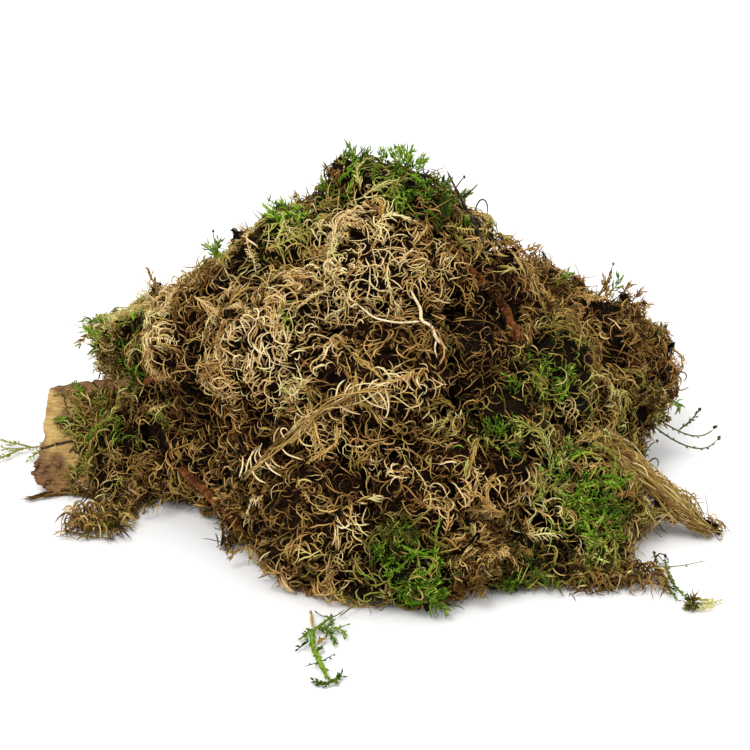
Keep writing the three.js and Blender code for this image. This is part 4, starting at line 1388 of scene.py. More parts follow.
# %% The pale shoot
SHOOT_ROUTE = [
    (240, 481), (252, 474), (264, 464), (280, 449), (292, 438), (307, 424), (319, 413), (335, 405),
    (347, 401), (362, 394), (381, 390), (394, 391),
]
SHOOT_RIBS = [
    [(262, 466), (257, 458), (262, 446)], [(256, 470), (253, 458), (256, 449)],
    [(250, 475), (252, 460), (260, 447)], [(246, 478), (248, 466), (246, 456)],
    [(272, 458), (264, 452), (266, 442)], [(283, 447), (279, 433), (284, 425)],
    [(290, 440), (282, 430), (288, 427), (291, 434)], [(336, 404), (339, 386), (346, 381)],
    [(346, 400), (350, 387), (354, 384)], [(352, 398), (355, 390)], [(360, 394), (361, 387), (364, 381)],
    [(308, 406), (318, 400), (331, 399), (344, 402)],
    [(307, 424), (302, 434), (303, 443), (311, 447), (322, 445)], [(311, 432), (314, 440), (323, 442)],
    [(286, 448), (290, 457), (300, 460), (306, 462)], [(325, 412), (327, 422), (334, 424)],
    [(334, 408), (335, 420), (343, 422)], [(344, 408), (354, 416), (366, 418)],
    [(367, 404), (375, 412), (391, 415)], [(372, 403), (380, 412)], [(378, 400), (385, 412)],
    [(384, 398), (391, 408), (391, 417)], [(392, 418), (395, 425), (392, 433), (387, 433)],
    [(276, 456), (280, 466), (290, 470)], [(268, 462), (274, 472), (284, 478)],
    [(258, 470), (262, 480), (270, 484)], [(318, 414), (306, 418), (296, 412)],
    [(300, 431), (296, 421), (300, 412)], [(368, 392), (372, 384), (380, 380)],
    [(376, 390), (384, 384), (392, 384)],
]


def over_heap(pixels, lift):
    """Points on the heap at pixels of the camera's picture, lifted off it by millimetres."""
    return [seen_at(*pixel) + Vector((0, -0.8, 0.6)) * lift * MM for pixel in pixels]


ROPE = 14
ROPE_POINTS = 24
STEM_LIFT, RIB_LIFT = 3.6, 1.2 # millimetres off the heap
WANDER = 1.5 * MM

stem = smooth_line(over_heap(SHOOT_ROUTE, STEM_LIFT), ROPE_POINTS, 4)
for _ in range(ROPE):
    wander = smooth_line(numbers.normal(0, WANDER, (9, 3)), ROPE_POINTS)
    first, last = numbers.choice([0, 0, 4, 8]), numbers.choice([14, 18, ROPE_POINTS, ROPE_POINTS])
    tone = 0.66 + numbers.normal(0, 0.18)
    thread("pale_shoot", (stem + wander)[first:last], [0.14, 0.3, 0.32, 0.14], tone, 0.1)
for rib in SHOOT_RIBS:
    base = np.array(seen_at(*rib[0]))
    gap = stem[np.linalg.norm(stem - base, axis=1).argmin()] - base
    share = np.linspace(1, 0.45, 9)[:, None]
    line = smooth_line(over_heap(rib, RIB_LIFT), 9, 2)
    thread("pale_shoot", line + gap * share, [0.22, 0.37, 0.33, 0.2], 0.86 + numbers.normal(0, 0.1))
print("the pale shoot has", tangles["pale_shoot"].count, "strands")

# %% [markdown]
# ### The rootlet and the twig
#
# The rootlet is a bare pale thread that forks, and the twig a dark stub on the crown. Both are round and
# smooth, so they are swept with more sides than the strands. The rootlet follows the heap, and the twig
# stands free, so its points are given in millimetres.

# %% The rootlet and the twig
ROOTLET = [(410, 293), (415, 303), (421, 313), (420, 325), (431, 329), (436, 343), (447, 354)]
ROOTLET_SIDE = [(358, 308), (374, 322), (398, 327), (421, 325)]
ROOTLET_FORK = [(436, 343), (434, 352), (437, 362)]
TWIG = [(38, -6, 97), (35, -2, 103), (30, 7, 110), (25, 13, 119)]
TWIG_STUB = [(30, 7, 110), (34, 4, 114), (36, 3, 117)]

for pixels, lift, count, radii, tone in (
    (ROOTLET, 4.5, 20, [0.35, 0.6, 0.55, 0.3], 0.9), (ROOTLET_SIDE, 4.5, 14, [0.2, 0.32, 0.4], 0.82),
    (ROOTLET_FORK, 4, 7, [0.35, 0.25, 0.15], 0.85),
):
    thread("pale_rootlet", smooth_line(over_heap(pixels, lift), count, 1), radii, tone)
thread("dead_twig", smooth_line(Vector(p) * MM for p in TWIG), [0.65, 0.6, 0.45, 0.3], 0.2)
thread("dead_twig", smooth_line([Vector(p) * MM for p in TWIG_STUB], 8), [0.35, 0.3, 0.2], 0.2)
print("twig and rootlet laid")

# %% [markdown]
# ### The golden fan
#
# At the right foot the strands lie straight and side by side, and run out to a point on the table. Each
# is a thread from the heap, over the wedge, to that point.

# %% The golden fan
FAN = 190
FAN_ROWS = [ # pixel, half the fan's height there in pixels, and its lift off the heap in millimetres
    (604, 444, 14, 3), (630, 467, 16, 4), (658, 493, 12, 4.2), (686, 517, 6, 2.6),
]
FAN_POINT = (711, 534)
OFF_HEAP = Vector((0, -0.5, 0.8))

for _ in range(FAN):
    aside = numbers.uniform(-1, 1)
    route = []
    for px, py, tall, lift in FAN_ROWS:
        spot = seen_at(px + numbers.normal(0, 3), py + aside * tall)
        if spot:
            route.append(spot + OFF_HEAP * lift * numbers.uniform(0.4, 1.3) * MM)
    px, py = FAN_POINT
    route.append(on_table(px + numbers.normal(0, 2), py + 3 * aside, height=numbers.uniform(0.8, 3)))
    if len(route) > 3:
        first = numbers.integers(0, len(route) - 2)
        last = numbers.integers(first + 2, len(route) + 1)
        line = smooth_line(route[first:last], 11) + smooth_line(numbers.normal(0, 1.2 * MM, (8, 3)), 11)
        thread("wad_wedge", line, [0.12, 0.25, 0.22, 0.12], 0.62 - 0.1 * aside + numbers.normal(0, 0.14),
               abs(numbers.normal(0.1, 0.14)), opens=numbers.uniform(0.2, 0.95))
print("fan:", FAN, "threads at most")

# %% [markdown]
# ### Strays
#
# Single strands stand out of the outline: stalks with a bud, loops and small leafy sprigs. Each is drawn
# where the camera sees it, as far away as the heap is at its foot.

# %% Strays
def facing(pixels):
    """Places at pixels of the camera's picture, all as far away as the heap is at the first one."""
    base = seen_at(*pixels[0])
    if base is None:
        return None
    turn = camera.matrix_world.to_quaternion()
    away = (turn.inverted() @ (base - camera.location)).z
    half = FRAME_PIXELS / 2
    places = [base]
    for px, py in pixels[1:]:
        place = Vector(((px - half) / FOCAL_PIXELS, (half - py) / FOCAL_PIXELS, -1)) * -away
        place.rotate(turn)
        place += camera.location
        places.append(place if place.z > MM else on_table(px, py, 1))
    return places


BARE, BUD, LEAFY, BROWN = range(4)
STRAYS = [
    (LEAFY, [(352, 170), (352, 158), (351, 146)]), (LEAFY, [(353, 170), (360, 160), (367, 155)]),
    (LEAFY, [(350, 172), (344, 162), (346, 154)]), (LEAFY, [(384, 168), (382, 160), (381, 150)]),
    (LEAFY, [(402, 172), (398, 158), (401, 148)]), (LEAFY, [(404, 170), (408, 156), (413, 149)]),
    (LEAFY, [(408, 174), (416, 164), (423, 160)]), (BROWN, [(340, 190), (333, 177), (327, 166)]),
    (BROWN, [(341, 186), (338, 174), (335, 170)]), (LEAFY, [(334, 196), (327, 190), (321, 183)]),
    (BUD, [(452, 196), (457, 186), (464, 177)]),
    (BARE, [(474, 215), (477, 200), (484, 195), (489, 204), (487, 216)]),
    (BARE, [(478, 232), (489, 218), (497, 224), (498, 236)]), (LEAFY, [(292, 216), (286, 208), (281, 203)]),
    (LEAFY, [(285, 222), (275, 216), (268, 212)]), (BROWN, [(304, 208), (298, 200), (295, 196)]),
    (BUD, [(217, 262), (215, 246), (213, 231)]), (LEAFY, [(218, 262), (212, 252), (206, 245)]),
    (LEAFY, [(219, 262), (216, 248), (219, 240)]), (BROWN, [(160, 296), (153, 282), (149, 269)]),
    (BROWN, [(522, 250), (530, 248), (538, 245)]), (BUD, [(524, 272), (532, 268), (535, 264)]),
    (LEAFY, [(556, 290), (560, 278), (569, 272)]), (BUD, [(611, 290), (611, 274), (613, 264)]),
    (BUD, [(656, 344), (659, 332), (661, 324)]), (BARE, [(680, 368), (688, 372), (688, 380), (682, 382)]),
    (BUD, [(640, 462), (646, 452), (650, 444), (657, 441)]), (BUD, [(638, 452), (641, 446), (644, 440)]),
    (BARE, [(646, 466), (654, 456), (660, 460), (657, 468)]),
    (BARE, [(650, 478), (657, 468), (661, 476), (655, 482)]),
    (BARE, [(660, 500), (676, 488), (687, 486), (693, 496), (701, 506), (706, 520)]),
    (LEAFY, [(112, 330), (100, 322), (86, 318)]), (LEAFY, [(112, 336), (98, 334), (84, 330)]),
    (LEAFY, [(114, 344), (102, 346), (92, 348)]), (BROWN, [(90, 330), (80, 340), (78, 345)]),
    (BARE, [(668, 392), (676, 398), (678, 388)]), (BARE, [(672, 384), (682, 392), (690, 386)]),
    (BROWN, [(238, 562), (230, 552), (231, 556)]), (BROWN, [(496, 552), (482, 544), (478, 538)]),
    (BARE, [(500, 540), (492, 556), (502, 566)]), (LEAFY, [(430, 600), (438, 604), (446, 612)]),
    (LEAFY, [(394, 172), (396, 160), (393, 150)]), (LEAFY, [(400, 172), (403, 158), (400, 148)]),
    (LEAFY, [(410, 174), (411, 160), (407, 149)]), (LEAFY, [(414, 178), (419, 166), (424, 158)]),
    (LEAFY, [(446, 200), (450, 190), (449, 182)]), (LEAFY, [(456, 206), (462, 196), (468, 192)]),
    (LEAFY, [(220, 262), (218, 254), (213, 246)]), (BROWN, [(612, 296), (606, 284), (603, 278)]),
    (BROWN, [(606, 294), (608, 284), (612, 274)]), (BROWN, [(622, 298), (625, 288), (631, 284)]),
    (BROWN, [(632, 302), (637, 295), (642, 291)]), (LEAFY, [(616, 292), (620, 282), (618, 276)]),
    (LEAFY, [(676, 396), (682, 404), (680, 410)]),
]
LOOKS = { # radii, tone, greenness and the size of the leaves
    BARE: ((0.2, 0.36, 0.32, 0.18), 0.32, 0.6, 0), BUD: ((0.3, 0.32, 0.28, 0.22), 0.3, 0.8, 0),
    LEAFY: ((0.26, 0.3, 0.24, 0.16), 0.6, 0.95, 2.6), BROWN: ((0.3, 0.34, 0.28, 0.16), 0.4, 0.05, 2.0),
}
STRAY_LEAVES = 16
BUD_UP = np.array([0, 0, 0.9 * MM])

for kind, pixels in STRAYS:
    places = facing(pixels)
    if places:
        radii, tone, green, size = LOOKS[kind]
        node = nodes[owner_at(places[0])]
        line = smooth_line(places, 9)
        tone = tone + numbers.normal(0, 0.06)
        if size:
            leafy_stem(node, line, radii, STRAY_LEAVES, size, tone, green, first=0.3)
        else:
            thread(node, line, radii, tone, green)
        if kind == BUD:
            thread(node, [line[-1] - BUD_UP, line[-1], line[-1] + BUD_UP], [0.1, 0.7, 0.1], 0.25, 0.5)
print("strays:", len(STRAYS))

# %% [markdown]
# A few long dark fibres lie on the table along the slab's foot, one over another.

# %% Fibres at the slab's foot
FIBRE_LINE = [(104, 500), (84, 494), (66, 491), (50, 492), (36, 498), (24, 500)]
FIBRES = 14

for _ in range(FIBRES):
    ends = [(px + numbers.normal(0, 4), py + numbers.normal(0, 1.5)) for px, py in FIBRE_LINE]
    ends = ends[numbers.integers(0, 2) :]
    line = smooth_line([on_table(px, py, numbers.uniform(0.6, 2.4)) for px, py in ends], 11)
    thread("wad_shed_left", line, [0.2, 0.4, 0.3, 0.15], 0.3 + numbers.normal(0, 0.12), 0.1, opens=0.5)
print("fibres:", FIBRES)

# %% [markdown]
# ### Sprigs on the table
#
# Four green sprigs have fallen out of the heap and lie at its foot, each still caught in it by its root.
# They are bare stems with leafy branches, and dark buds at their tips.

# %% Green sprigs
DEEP_GREEN = 0.42
BUD_TONE = 0.22


TWIGLET_HEIGHT = 1.6 # millimetres over the table


def twiglet(node, pixels, leaves, size, tone, radii=(0.3, 0.45, 0.35, 0.2), green=0.95, bud=0.0):
    """A stem over the table through pixels of the camera's picture, with leaves and a bud at its tip."""
    rise = np.interp(np.linspace(0, 1, len(pixels)), [0, 0.5, 1],
                     [TWIGLET_HEIGHT, 1.3 * TWIGLET_HEIGHT, 0.8 * TWIGLET_HEIGHT])
    line = smooth_line([on_table(*pixel, height=tall) for pixel, tall in zip(pixels, rise)], 12, 2)
    leafy_stem(node, line, radii, leaves, size, tone, green, first=0.05)
    if bud:
        way = line[-1] - line[-2]
        way = way / np.linalg.norm(way) * bud * MM
        thread(node, [line[-1] - way, line[-1], line[-1] + way], [0.3, 0.7 * bud, 0.2], BUD_TONE, 0.6)


def dark_ball(node, px, py, size, count):
    """A knot of short curled leaves."""
    middle = np.array(on_table(px, py, size))
    for _ in range(count):
        way = numbers.normal(0, 1, 3)
        way /= np.linalg.norm(way)
        bend = numbers.normal(0, 0.5, 3)
        leaf = [middle + way * 0.3 * size * MM, middle + (way + 0.4 * bend) * 0.8 * size * MM,
                middle + (way + bend) * 1.15 * size * MM]
        thread(node, leaf, [0.1, numbers.uniform(0.3, 0.6), 0.1], numbers.uniform(0.1, 0.5),
               numbers.uniform(0.3, 0.9))


print("helpers for sprigs ready")

# %% [markdown]
# The front sprig has the most to see: a thick leafy stem that bends, short side twigs and thin bare ones.

# %% The front sprig
rooted = smooth_line([Vector(p) * MM for p in ((2, -84, 2.6), (-6, -90, 3), (-12, -98, 2.4))], 10, 2)
thread("green_sprig_front", rooted, [0.3, 0.3, 0.24], 0.4, 0.7)
FRONT = [ # pixels, how many leaves and how large, tone and radii
    ([(345, 609), (335, 617), (326, 618), (314, 611)], 3, 1.2, 0.35, (0.16, 0.2, 0.2, 0.12)),
    ([(334, 614), (327, 622), (315, 626), (309, 636), (314, 649), (319, 663), (326, 674), (330, 682)],
     54, 1.9, 0.66, (0.4, 0.6, 0.75, 0.6)),
    ([(313, 627), (326, 629), (333, 619)], 14, 2.2, 0.5, (0.4, 0.5, 0.3, 0.2)),
    ([(324, 628), (331, 635), (337, 644)], 18, 2.2, 0.45, (0.3, 0.45, 0.4, 0.3)),
    ([(328, 630), (337, 627), (345, 633), (347, 638)], 10, 1.8, 0.62, (0.3, 0.36, 0.3, 0.2)),
    ([(330, 634), (338, 629), (348, 624)], 3, 1.4, 0.5, (0.2, 0.2, 0.2, 0.1)),
    ([(312, 630), (305, 634), (303, 638)], 14, 2.0, 0.62, (0.4, 0.5, 0.5, 0.3)),
    ([(309, 640), (303, 645), (297, 649)], 6, 1.6, 0.3, (0.3, 0.4, 0.3, 0.2)),
    ([(303, 667), (313, 664), (323, 661), (336, 653)], 5, 1.0, 0.3, (0.14, 0.2, 0.2, 0.12)),
    ([(330, 684), (322, 683), (314, 681)], 12, 1.8, 0.36, (0.4, 0.6, 0.4, 0.3)),
    ([(326, 683), (334, 681), (342, 675)], 16, 2.0, 0.4, (0.4, 0.6, 0.5, 0.3)),
]
for pixels, leaves, size, tone, radii in FRONT:
    twiglet("green_sprig_front", pixels, leaves, size, tone, radii)
twiglet("green_sprig_front", [(312, 627), (311, 618), (311, 610)], 4, 1.4, 0.6, (0.5, 0.6, 0.4, 0.3), green=0.0)
twiglet("green_sprig_front", [(317, 645), (320, 641), (324, 638)], 5, 1.5, 0.5, (0.5, 0.8, 0.5, 0.3), green=0.1)
twiglet("green_sprig_front", [(315, 650), (319, 650), (322, 648)], 6, 1.2, DEEP_GREEN, bud=1.0)
print("front sprig:", tangles["green_sprig_front"].count, "strands")

# %% [markdown]
# The left sprig reaches out from behind the slab. Its routes are given in millimetres.

# %% The left sprig
LEFT = [
    [(-98, 36, 2.6), (-114, 37, 3), (-128, 34, 2.4), (-138, 30, 2.6), (-145, 33, 2.4)],
    [(-122, 36, 2.6), (-128, 30, 2.2), (-132, 24, 1.6)], [(-136, 31, 2.4), (-141, 26, 2), (-144, 22, 1.4)],
    [(-132, 33, 2.4), (-138, 36, 2.4), (-146, 40, 2)],
]
for number, route in enumerate(LEFT):
    line = smooth_line([Vector(p) * MM for p in route], 16, 2)
    leaves = 24 if number == 0 else 12
    leafy_stem("green_sprig_left", line, (0.4, 0.5, 0.4, 0.2), leaves, 2.0, 0.66, 0.62, first=0.35)
print("left sprig:", tangles["green_sprig_left"].count, "strands")

# %% [markdown]
# The trailing sprig runs forwards from the right foot: two thin leafy stems that end in a dark knot, with
# pale shoots beyond it, and a bare thread across.

# %% The trailing sprig
start = [Vector((84, -64, 2.6)) * MM, Vector((90, -66, 3)) * MM, on_table(657, 566, 2)]
thread("green_sprig_trailing", smooth_line(start, 8), [0.3, 0.3, 0.24], 0.4, 0.7)
for pixels in (
    [(654, 554), (657, 566), (662, 579), (671, 592), (679, 601)],
    [(665, 557), (667, 571), (672, 582), (679, 592), (687, 598)],
):
    twiglet("green_sprig_trailing", pixels, 40, 1.1, 0.5, (0.26, 0.3, 0.4, 0.3))
for px, py in ((654, 553), (665, 556)):
    tip = np.array(on_table(px, py, 2))
    thread("green_sprig_trailing", [tip - [0, 0, MM], tip, tip + [0, 0, MM]], [0.2, 0.8, 0.2], BUD_TONE, 0.7)
twiglet("green_sprig_trailing", [(636, 569), (656, 567), (676, 567), (696, 563), (708, 560)], 4, 1.0, 0.45,
        (0.2, 0.26, 0.2, 0.12), green=0.5)
dark_ball("green_sprig_trailing", 692, 603, 2.4, 70)
for pixels in (
    [(694, 600), (704, 600), (713, 602)], [(696, 603), (708, 604), (719, 601)],
    [(694, 605), (702, 609), (712, 608)],
):
    twiglet("green_sprig_trailing", pixels, 10, 1.8, 0.8, (0.3, 0.4, 0.3, 0.2), green=0.4)
print("trailing sprig:", tangles["green_sprig_trailing"].count, "strands")

# %% [markdown]
# The right sprig leans out of the flank: three stems that end in dark buds.

# %% The right sprig
RIGHT = [
    [(100, 36, 20), (105, 33, 16), (112, 31, 12), (120, 30, 8), (127, 30, 8), (130, 30, 12)],
    [(100, 36, 18), (106, 31, 12), (114, 28, 7), (122, 27, 4), (128, 27, 4), (131, 27, 9)],
    [(116, 31, 10), (121, 32, 14), (124, 33, 18)],
]
BUD_LENGTH = 1.1

for route in RIGHT:
    line = smooth_line([Vector(p) * MM for p in route], 14, 2)
    leafy_stem("green_sprig_right", line, (0.4, 0.42, 0.34, 0.26), 12, 1.3, DEEP_GREEN, 0.8)
    way = line[-1] - line[-2]
    way = way / np.linalg.norm(way) * BUD_LENGTH * MM
    thread("green_sprig_right", [line[-1] - way, line[-1], line[-1] + way], [0.3, 0.85, 0.2], 0.2, 0.5)
print("right sprig:", tangles["green_sprig_right"].count, "strands")

# %% [markdown]
# ## Bark
#
# The slab and the strips of bark are rigid, but their CAD solids have flat facets. A voxel remesh gives each an
# even skin of small faces, whose corners are then moved by noise that is stretched along the grain. The slab's
# two cracks are pressed in along lines, and their depth is kept for a painted shade in the finish.

# %% Shape the slab of bark
SLAB_MIDDLE = Vector((-98, 10, 18.5)) * MM
SLAB_LEAN = math.radians(53)
CRACKS = [
    [(-27, -7), (-20, -6.2), (-16, -5.2), (-9, -4.2), (-3, -4.6)],
    [(-8, 21), (-5, 16), (-3, 11.5), (-2, 6)],
]


def even_skin(node, voxel, rounds):
    thing = linked(node + "_even", copy_of(node))
    melt = thing.modifiers.new("Even", "REMESH")
    melt.mode = "VOXEL"
    melt.voxel_size = voxel * MM
    relax = thing.modifiers.new("Relax", "SMOOTH")
    relax.factor = 0.5
    relax.iterations = rounds
    return finished(thing)


def line_distance(spot, line):
    """How far a spot is from a broken line, both in the plane of the slab."""
    best = 1e9
    for one, other in zip(line, line[1:]):
        a = Vector(one)
        way = Vector(other) - a
        share = min(1, max(0, (spot - a).dot(way) / way.length_squared))
        best = min(best, (spot - a - way * share).length)
    return best


SLAB_VOXEL, SLAB_ROUNDS = 0.75, 2
CRACK_HALF = 0.65 # millimetres from a crack's middle to its edge
CRACK_DEPTH = 1.3

slab_mesh = even_skin("bark_slab", SLAB_VOXEL, SLAB_ROUNDS)
from_slab = Quaternion((1, 0, 0), SLAB_LEAN)
marks = {"crack": [], "rust": [], "moss": []}
for vertex in slab_mesh.vertices:
    flat = (from_slab.inverted() @ (vertex.co - SLAB_MIDDLE)) / MM
    wobble = noise.noise(flat * 0.16)
    spot = Vector((flat.x, flat.y + wobble * 1.5))
    crack = max(max(0, 1 - line_distance(spot, line) / CRACK_HALF) for line in CRACKS) if flat.z > 0 else 0
    end = min(1, max(0, (-flat.x - flat.y * 1.1 - 24 + 10 * wobble) / 9))
    edge = min(1, max(0, (flat.y - 14.5 + 3 * wobble) / 2.5))
    grain = noise.noise(Vector((flat.x * 0.3, flat.y * 1.3, flat.z * 0.8)))
    rough = noise.noise(flat * 0.8 + Vector((5, 0, 0)))
    layers = noise.noise(Vector((flat.x * 0.3, flat.y * 0.4, flat.z * 0.3)) + Vector((9, 0, 0)))
    push = 0.2 * grain + 0.4 * layers + 0.45 * rough * edge
    push = push + end * (1.4 * layers + 1.5 * rough - 0.6) - CRACK_DEPTH * crack
    vertex.co += vertex.normal * push * MM
    vertex.co.z = max(vertex.co.z, 0)
    marks["crack"].append(crack)
    marks["rust"].append(max(end, edge))
    low = min(1, max(0, (-4 - flat.y) / 5))
    marks["moss"].append(min(1, max(0, (flat.x + 18 + 6 * wobble - 26 * edge - 5 * low) / 6)) * (flat.z > 0))
for key, values in marks.items():
    slab_mesh.attributes.new(key, "FLOAT", "POINT").data.foreach_set("value", values)
slab_mesh.calc_loop_triangles()
face_uv(slab_mesh, 1)
print("slab:", len(slab_mesh.polygons), "faces")

# %% [markdown]
# Moss has grown over the right side of the slab. It is part of the olive tuft there, and grows with the
# same layers as the heap does.

# %% Moss on the slab
moss_here = np.array(marks["moss"])
slab_open = np.full(len(moss_here), 0.55)
slab_ground = ray_finder(slab_mesh)
SLAB_SHOOTS = 26


def slab_roots(count):
    # Noise hollows in the moss on the slab, which get a painted shade as on the heap.
    dark = np.clip(np.array([noise.noise(v.co * 130) for v in slab_mesh.vertices]) * 2.2 - 0.55, 0, 1)
    roots = scattered(slab_mesh, count, want=moss_here, open=slab_open, tone=slab_open * 0.86,
                      green=slab_open * 0.75, dark=dark)
    roots.owner = np.full(count, nodes.index("olive_tuft_left_low"))
    return roots


roots = slab_roots(1000)
roots.open = roots.open * 2
grow_thatch(roots)
grow_locks(slab_roots(130))
grow_curls(slab_roots(260))
grow_flyaways(slab_roots(60), height=(1, 4))
roots = slab_roots(SLAB_SHOOTS)
grow_shoots(roots, lengths=numbers.uniform(6, 12, SLAB_SHOOTS) * MM, tones=roots.tone + 0.1,
            greens=roots.green + numbers.normal(0.3, 0.2, SLAB_SHOOTS), branch=(1.8, 4), points=7,
            ground=slab_ground)
print("moss laid on", round(100 * float((moss_here > 0.5).mean())), "% of the slab")


# %% [markdown]
# The bark's finish reads the slab's own directions: a Mapping node turns the pattern so that it lies in the
# slab, and noise stretched along one side gives the fibres. Rusty places, cracks and moss come from the marks
# that were left in the mesh: the cracks get a painted shade, and the slab is darker and olive where moss grows
# over it.

# %% Bark finishes
WOOD_DULLNESS = 0.1
WOOD_SCALE = scale("0.2 5e4522, 0.4 97763e, 0.58 bb9a5a, 0.8 d6bc80")
RUST_SCALE = scale("0.25 2e1a10, 0.45 604022, 0.62 8c6434, 0.85 b3905a")


def bark_finish():
    finish = Finish("bark")
    place = finish.node("ShaderNodeTexCoord", {}, out="Object")
    lying = finish.node("ShaderNodeMapping", {"vector_type": "TEXTURE"}, place, tuple(SLAB_MIDDLE),
                        (SLAB_LEAN, 0, 0), (1, 1, 1))
    drawn = finish.node("ShaderNodeVectorMath", {"operation": "MULTIPLY"}, lying, (260, 1500, 700))
    fibres = finish.node("ShaderNodeTexNoise", {}, Vector=drawn, Scale=1.0, Detail=4.0, Roughness=0.65,
                         out="Fac")
    fine = finish.node("ShaderNodeVectorMath", {"operation": "MULTIPLY"}, lying, (350, 3200, 1500))
    hairs = finish.node("ShaderNodeTexNoise", {}, Vector=fine, Scale=1.0, Detail=2.0, out="Fac")
    blotches = finish.noise(90, 3)
    wood = finish.ramp(fibres * 0.6 + blotches * 0.6 + hairs * 0.4 - 0.3, WOOD_SCALE)
    rust = finish.ramp(fibres * 0.5 + blotches * 0.5 + hairs * 0.3 - 0.15, RUST_SCALE)
    colour = finish.mixed(finish.attribute("rust") + hairs * 0.5 - 0.25, wood, rust)
    # Painted shade: the cracks are darkened nearly to black.
    depth = finish.attribute("crack") + hairs * 0.25 - 0.12
    shadow = finish.ramp(depth, [(0.2, (1, 1, 1)), (0.6, (0.06, 0.035, 0.02))])
    # Where moss grows over the slab, the bark is darker and olive.
    darker_under_moss = finish.ramp(finish.attribute("moss"), [(0.1, (1, 1, 1)), (0.9, (0.16, 0.13, 0.06))])
    shaded = finish.mixed(1.0, finish.mixed(1.0, colour, shadow, "MULTIPLY"), darker_under_moss, "MULTIPLY")
    finish.plug(shaded, finish.shader.inputs["Base Color"])
    finish.plug(0.95 - fibres * 0.3, finish.shader.inputs["Roughness"])
    bump = finish.node("ShaderNodeBump", {}, Strength=0.8, Distance=0.0004, Height=fibres + hairs * 0.5)
    finish.plug(bump, finish.shader.inputs["Normal"])
    return finish.material


STREAK = (500, 500, 220) # streaks to a metre along each side


def streaked_finish(name, stops):
    """A woody finish with streaks and specks, for the strips, the twig and the rootlet."""
    finish = Finish(name)
    place = finish.node("ShaderNodeTexCoord", {}, out="Object")
    drawn = finish.node("ShaderNodeVectorMath", {"operation": "MULTIPLY"}, place, STREAK)
    streaks = finish.node("ShaderNodeTexNoise", {}, Vector=drawn, Scale=1.0, Detail=4.0, Roughness=0.6,
                          out="Fac")
    specks = finish.noise(1800, 2)
    finish.plug(finish.ramp(streaks + specks * 0.4 - 0.2, stops), finish.shader.inputs["Base Color"])
    finish.plug(0.7 + specks * 0.2, finish.shader.inputs["Roughness"])
    bump = finish.node("ShaderNodeBump", {}, Strength=0.7, Distance=0.0003, Height=streaks + specks * 0.4)
    finish.plug(bump, finish.shader.inputs["Normal"])
    finish.shader.inputs["Specular IOR Level"].default_value = WOOD_DULLNESS
    return finish.material


finishes["bark"] = bark_finish()
finishes["rust"] = streaked_finish("rusty_bark", scale("0.25 1a0d06, 0.42 472410, 0.6 74431f, 0.8 9c7040"))
finishes["twig"] = streaked_finish("dark_twig", scale("0.25 120d0a, 0.5 2f241c, 0.75 564636"))
finishes["root"] = streaked_finish("pale_root", scale("0.25 a58a62, 0.5 dac49a, 0.75 f1e4c6"))
finishes["pale"] = moss_finish("pale_moss")
print(len(finishes), "finishes")

# %% [markdown]
# The strips are peeled bark, thin and ragged. Each is the solid with an even skin, whose corners are moved
# by noise of two sizes, the larger for its edges and the smaller for its grain.

# %% Shape the bark strips
STRIP_VOXEL = 0.45
RAGGED = ((0.6, 0.6), (0.45, 1.7)) # depth in millimetres, and lumps to a millimetre


def strip_mesh(node):
    mesh = even_skin(node, STRIP_VOXEL, 1)
    face_uv(mesh, 1)
    for vertex in mesh.vertices:
        spot = vertex.co / MM
        ragged = sum(depth * noise.noise(spot * lumps) for depth, lumps in RAGGED)
        vertex.co += vertex.normal * ragged * MM
    return mesh


strips = [name for name in nodes if name.startswith("bark_strip")]
print("strips:", strips)

# %% [markdown]
# ## One piece for each solid
#
# Each wad and tuft becomes one piece: its bed and its strands, joined. The sprigs and the threads are
# strands alone. Every piece takes its solid's place and finish, and rides on the same body.

# %% Join each bed with its strands
def joined(name, meshes):
    things = [linked(name, mesh) for mesh in meshes]
    if len(things) > 1:
        with bpy.context.temp_override(active_object=things[0], selected_editable_objects=things):
            bpy.ops.object.join()
    things[0].name = name
    return things[0]


def hand_over(piece, node):
    """Gives a piece its finish and its place in the frame."""
    piece.data.shade_smooth()
    piece.data.materials.clear()
    piece.data.materials.append(finishes[slot_of[node]])
    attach(piece, "root")
    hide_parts(node)


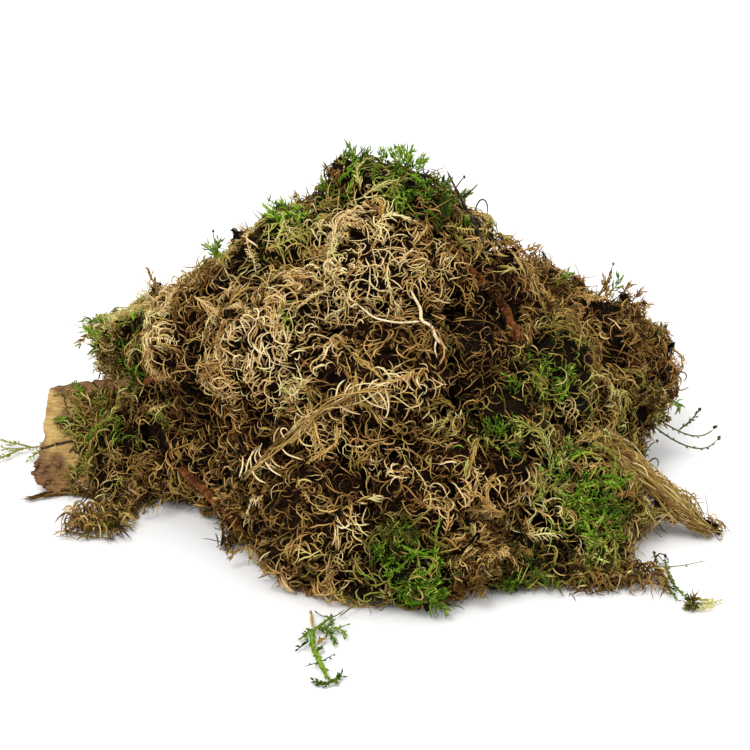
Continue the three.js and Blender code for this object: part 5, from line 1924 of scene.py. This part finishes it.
for node in heap_nodes:
    meshes = [bed_of(node), strand_mesh(node + "_strands", tangles[node], low=BED_SHARE)]
    hand_over(joined(node + "_moss", meshes), node)
for node in nodes:
    if "sprig" in node or node == "pale_shoot":
        hand_over(linked(node + "_strands", strand_mesh(node + "_strands", tangles[node])), node)
    elif node in ("pale_rootlet", "dead_twig"):
        hand_over(linked(node + "_round", strand_mesh(node + "_round", tangles[node], round_skin)), node)
    elif node in strips:
        hand_over(linked(node + "_peeled", strip_mesh(node)), node)
hand_over(linked("bark_slab_split", slab_mesh), "bark_slab")
pieces = [p for p in bpy.context.scene.objects if p.type == "MESH" and p.name not in frame["nodes"]]
sizes = [sum(len(face.vertices) - 2 for face in piece.data.polygons) for piece in pieces]
print("triangles:", sum(sizes), "the most in one piece:", max(sizes))


# %% [markdown]
# ## Floor and light
#
# The heap stands on a plain pale floor, as in a small studio. A large soft lamp from the upper left makes
# the shadows between the strands, two weaker ones lighten them from the right and from behind, and a white
# world fills in the rest. Large lamps were chosen because small ones draw hard shadows of every strand.

# %% Floor and lights
FLOOR_SIZE = 6
FLOOR_GREY = 0.9
LAMPS = [ # name, place and size in metres, and watts
    ("key", (-0.5, -0.8, 1.3), 0.7, 16), ("fill", (0.9, -0.7, 0.8), 1.0, 5), ("back", (0.2, 1.1, 1.0), 1.0, 6),
]
AIM = Vector((0, 0, 0.05))
WORLD_STRENGTH = 0.78


def floor():
    shape = bmesh.new()
    bmesh.ops.create_grid(shape, x_segments=1, y_segments=1, size=FLOOR_SIZE)
    mesh = bpy.data.meshes.new("floor")
    shape.to_mesh(mesh)
    shape.free()
    thing = linked("floor", mesh)
    finish = Finish("floor")
    finish.shader.inputs["Base Color"].default_value = (FLOOR_GREY, FLOOR_GREY, FLOOR_GREY, 1)
    finish.shader.inputs["Roughness"].default_value = 0.8
    mesh.materials.append(finish.material)


def lamp(name, place, size, watts):
    light = bpy.data.lights.new(name, "AREA")
    light.size = size
    light.energy = watts
    thing = bpy.data.objects.new(name, light)
    bpy.context.scene.collection.objects.link(thing)
    thing.location = place
    thing.rotation_euler = (AIM - Vector(place)).to_track_quat("-Z", "Y").to_euler()


floor()
for settings in LAMPS:
    lamp(*settings)
world = bpy.data.worlds.new("studio")
bpy.context.scene.world = world
world.use_nodes = True
backdrop = world.node_tree.nodes["Background"].inputs
backdrop["Color"].default_value = (1, 1, 1, 1)
backdrop["Strength"].default_value = WORLD_STRENGTH
bpy.context.scene.view_settings.view_transform = "Standard"
print("lamps:", len(LAMPS))

# %% [markdown]
# ## Finish
#
# The skin was only a guide and is removed.

# %% Finish
bpy.data.meshes.remove(skin_mesh)
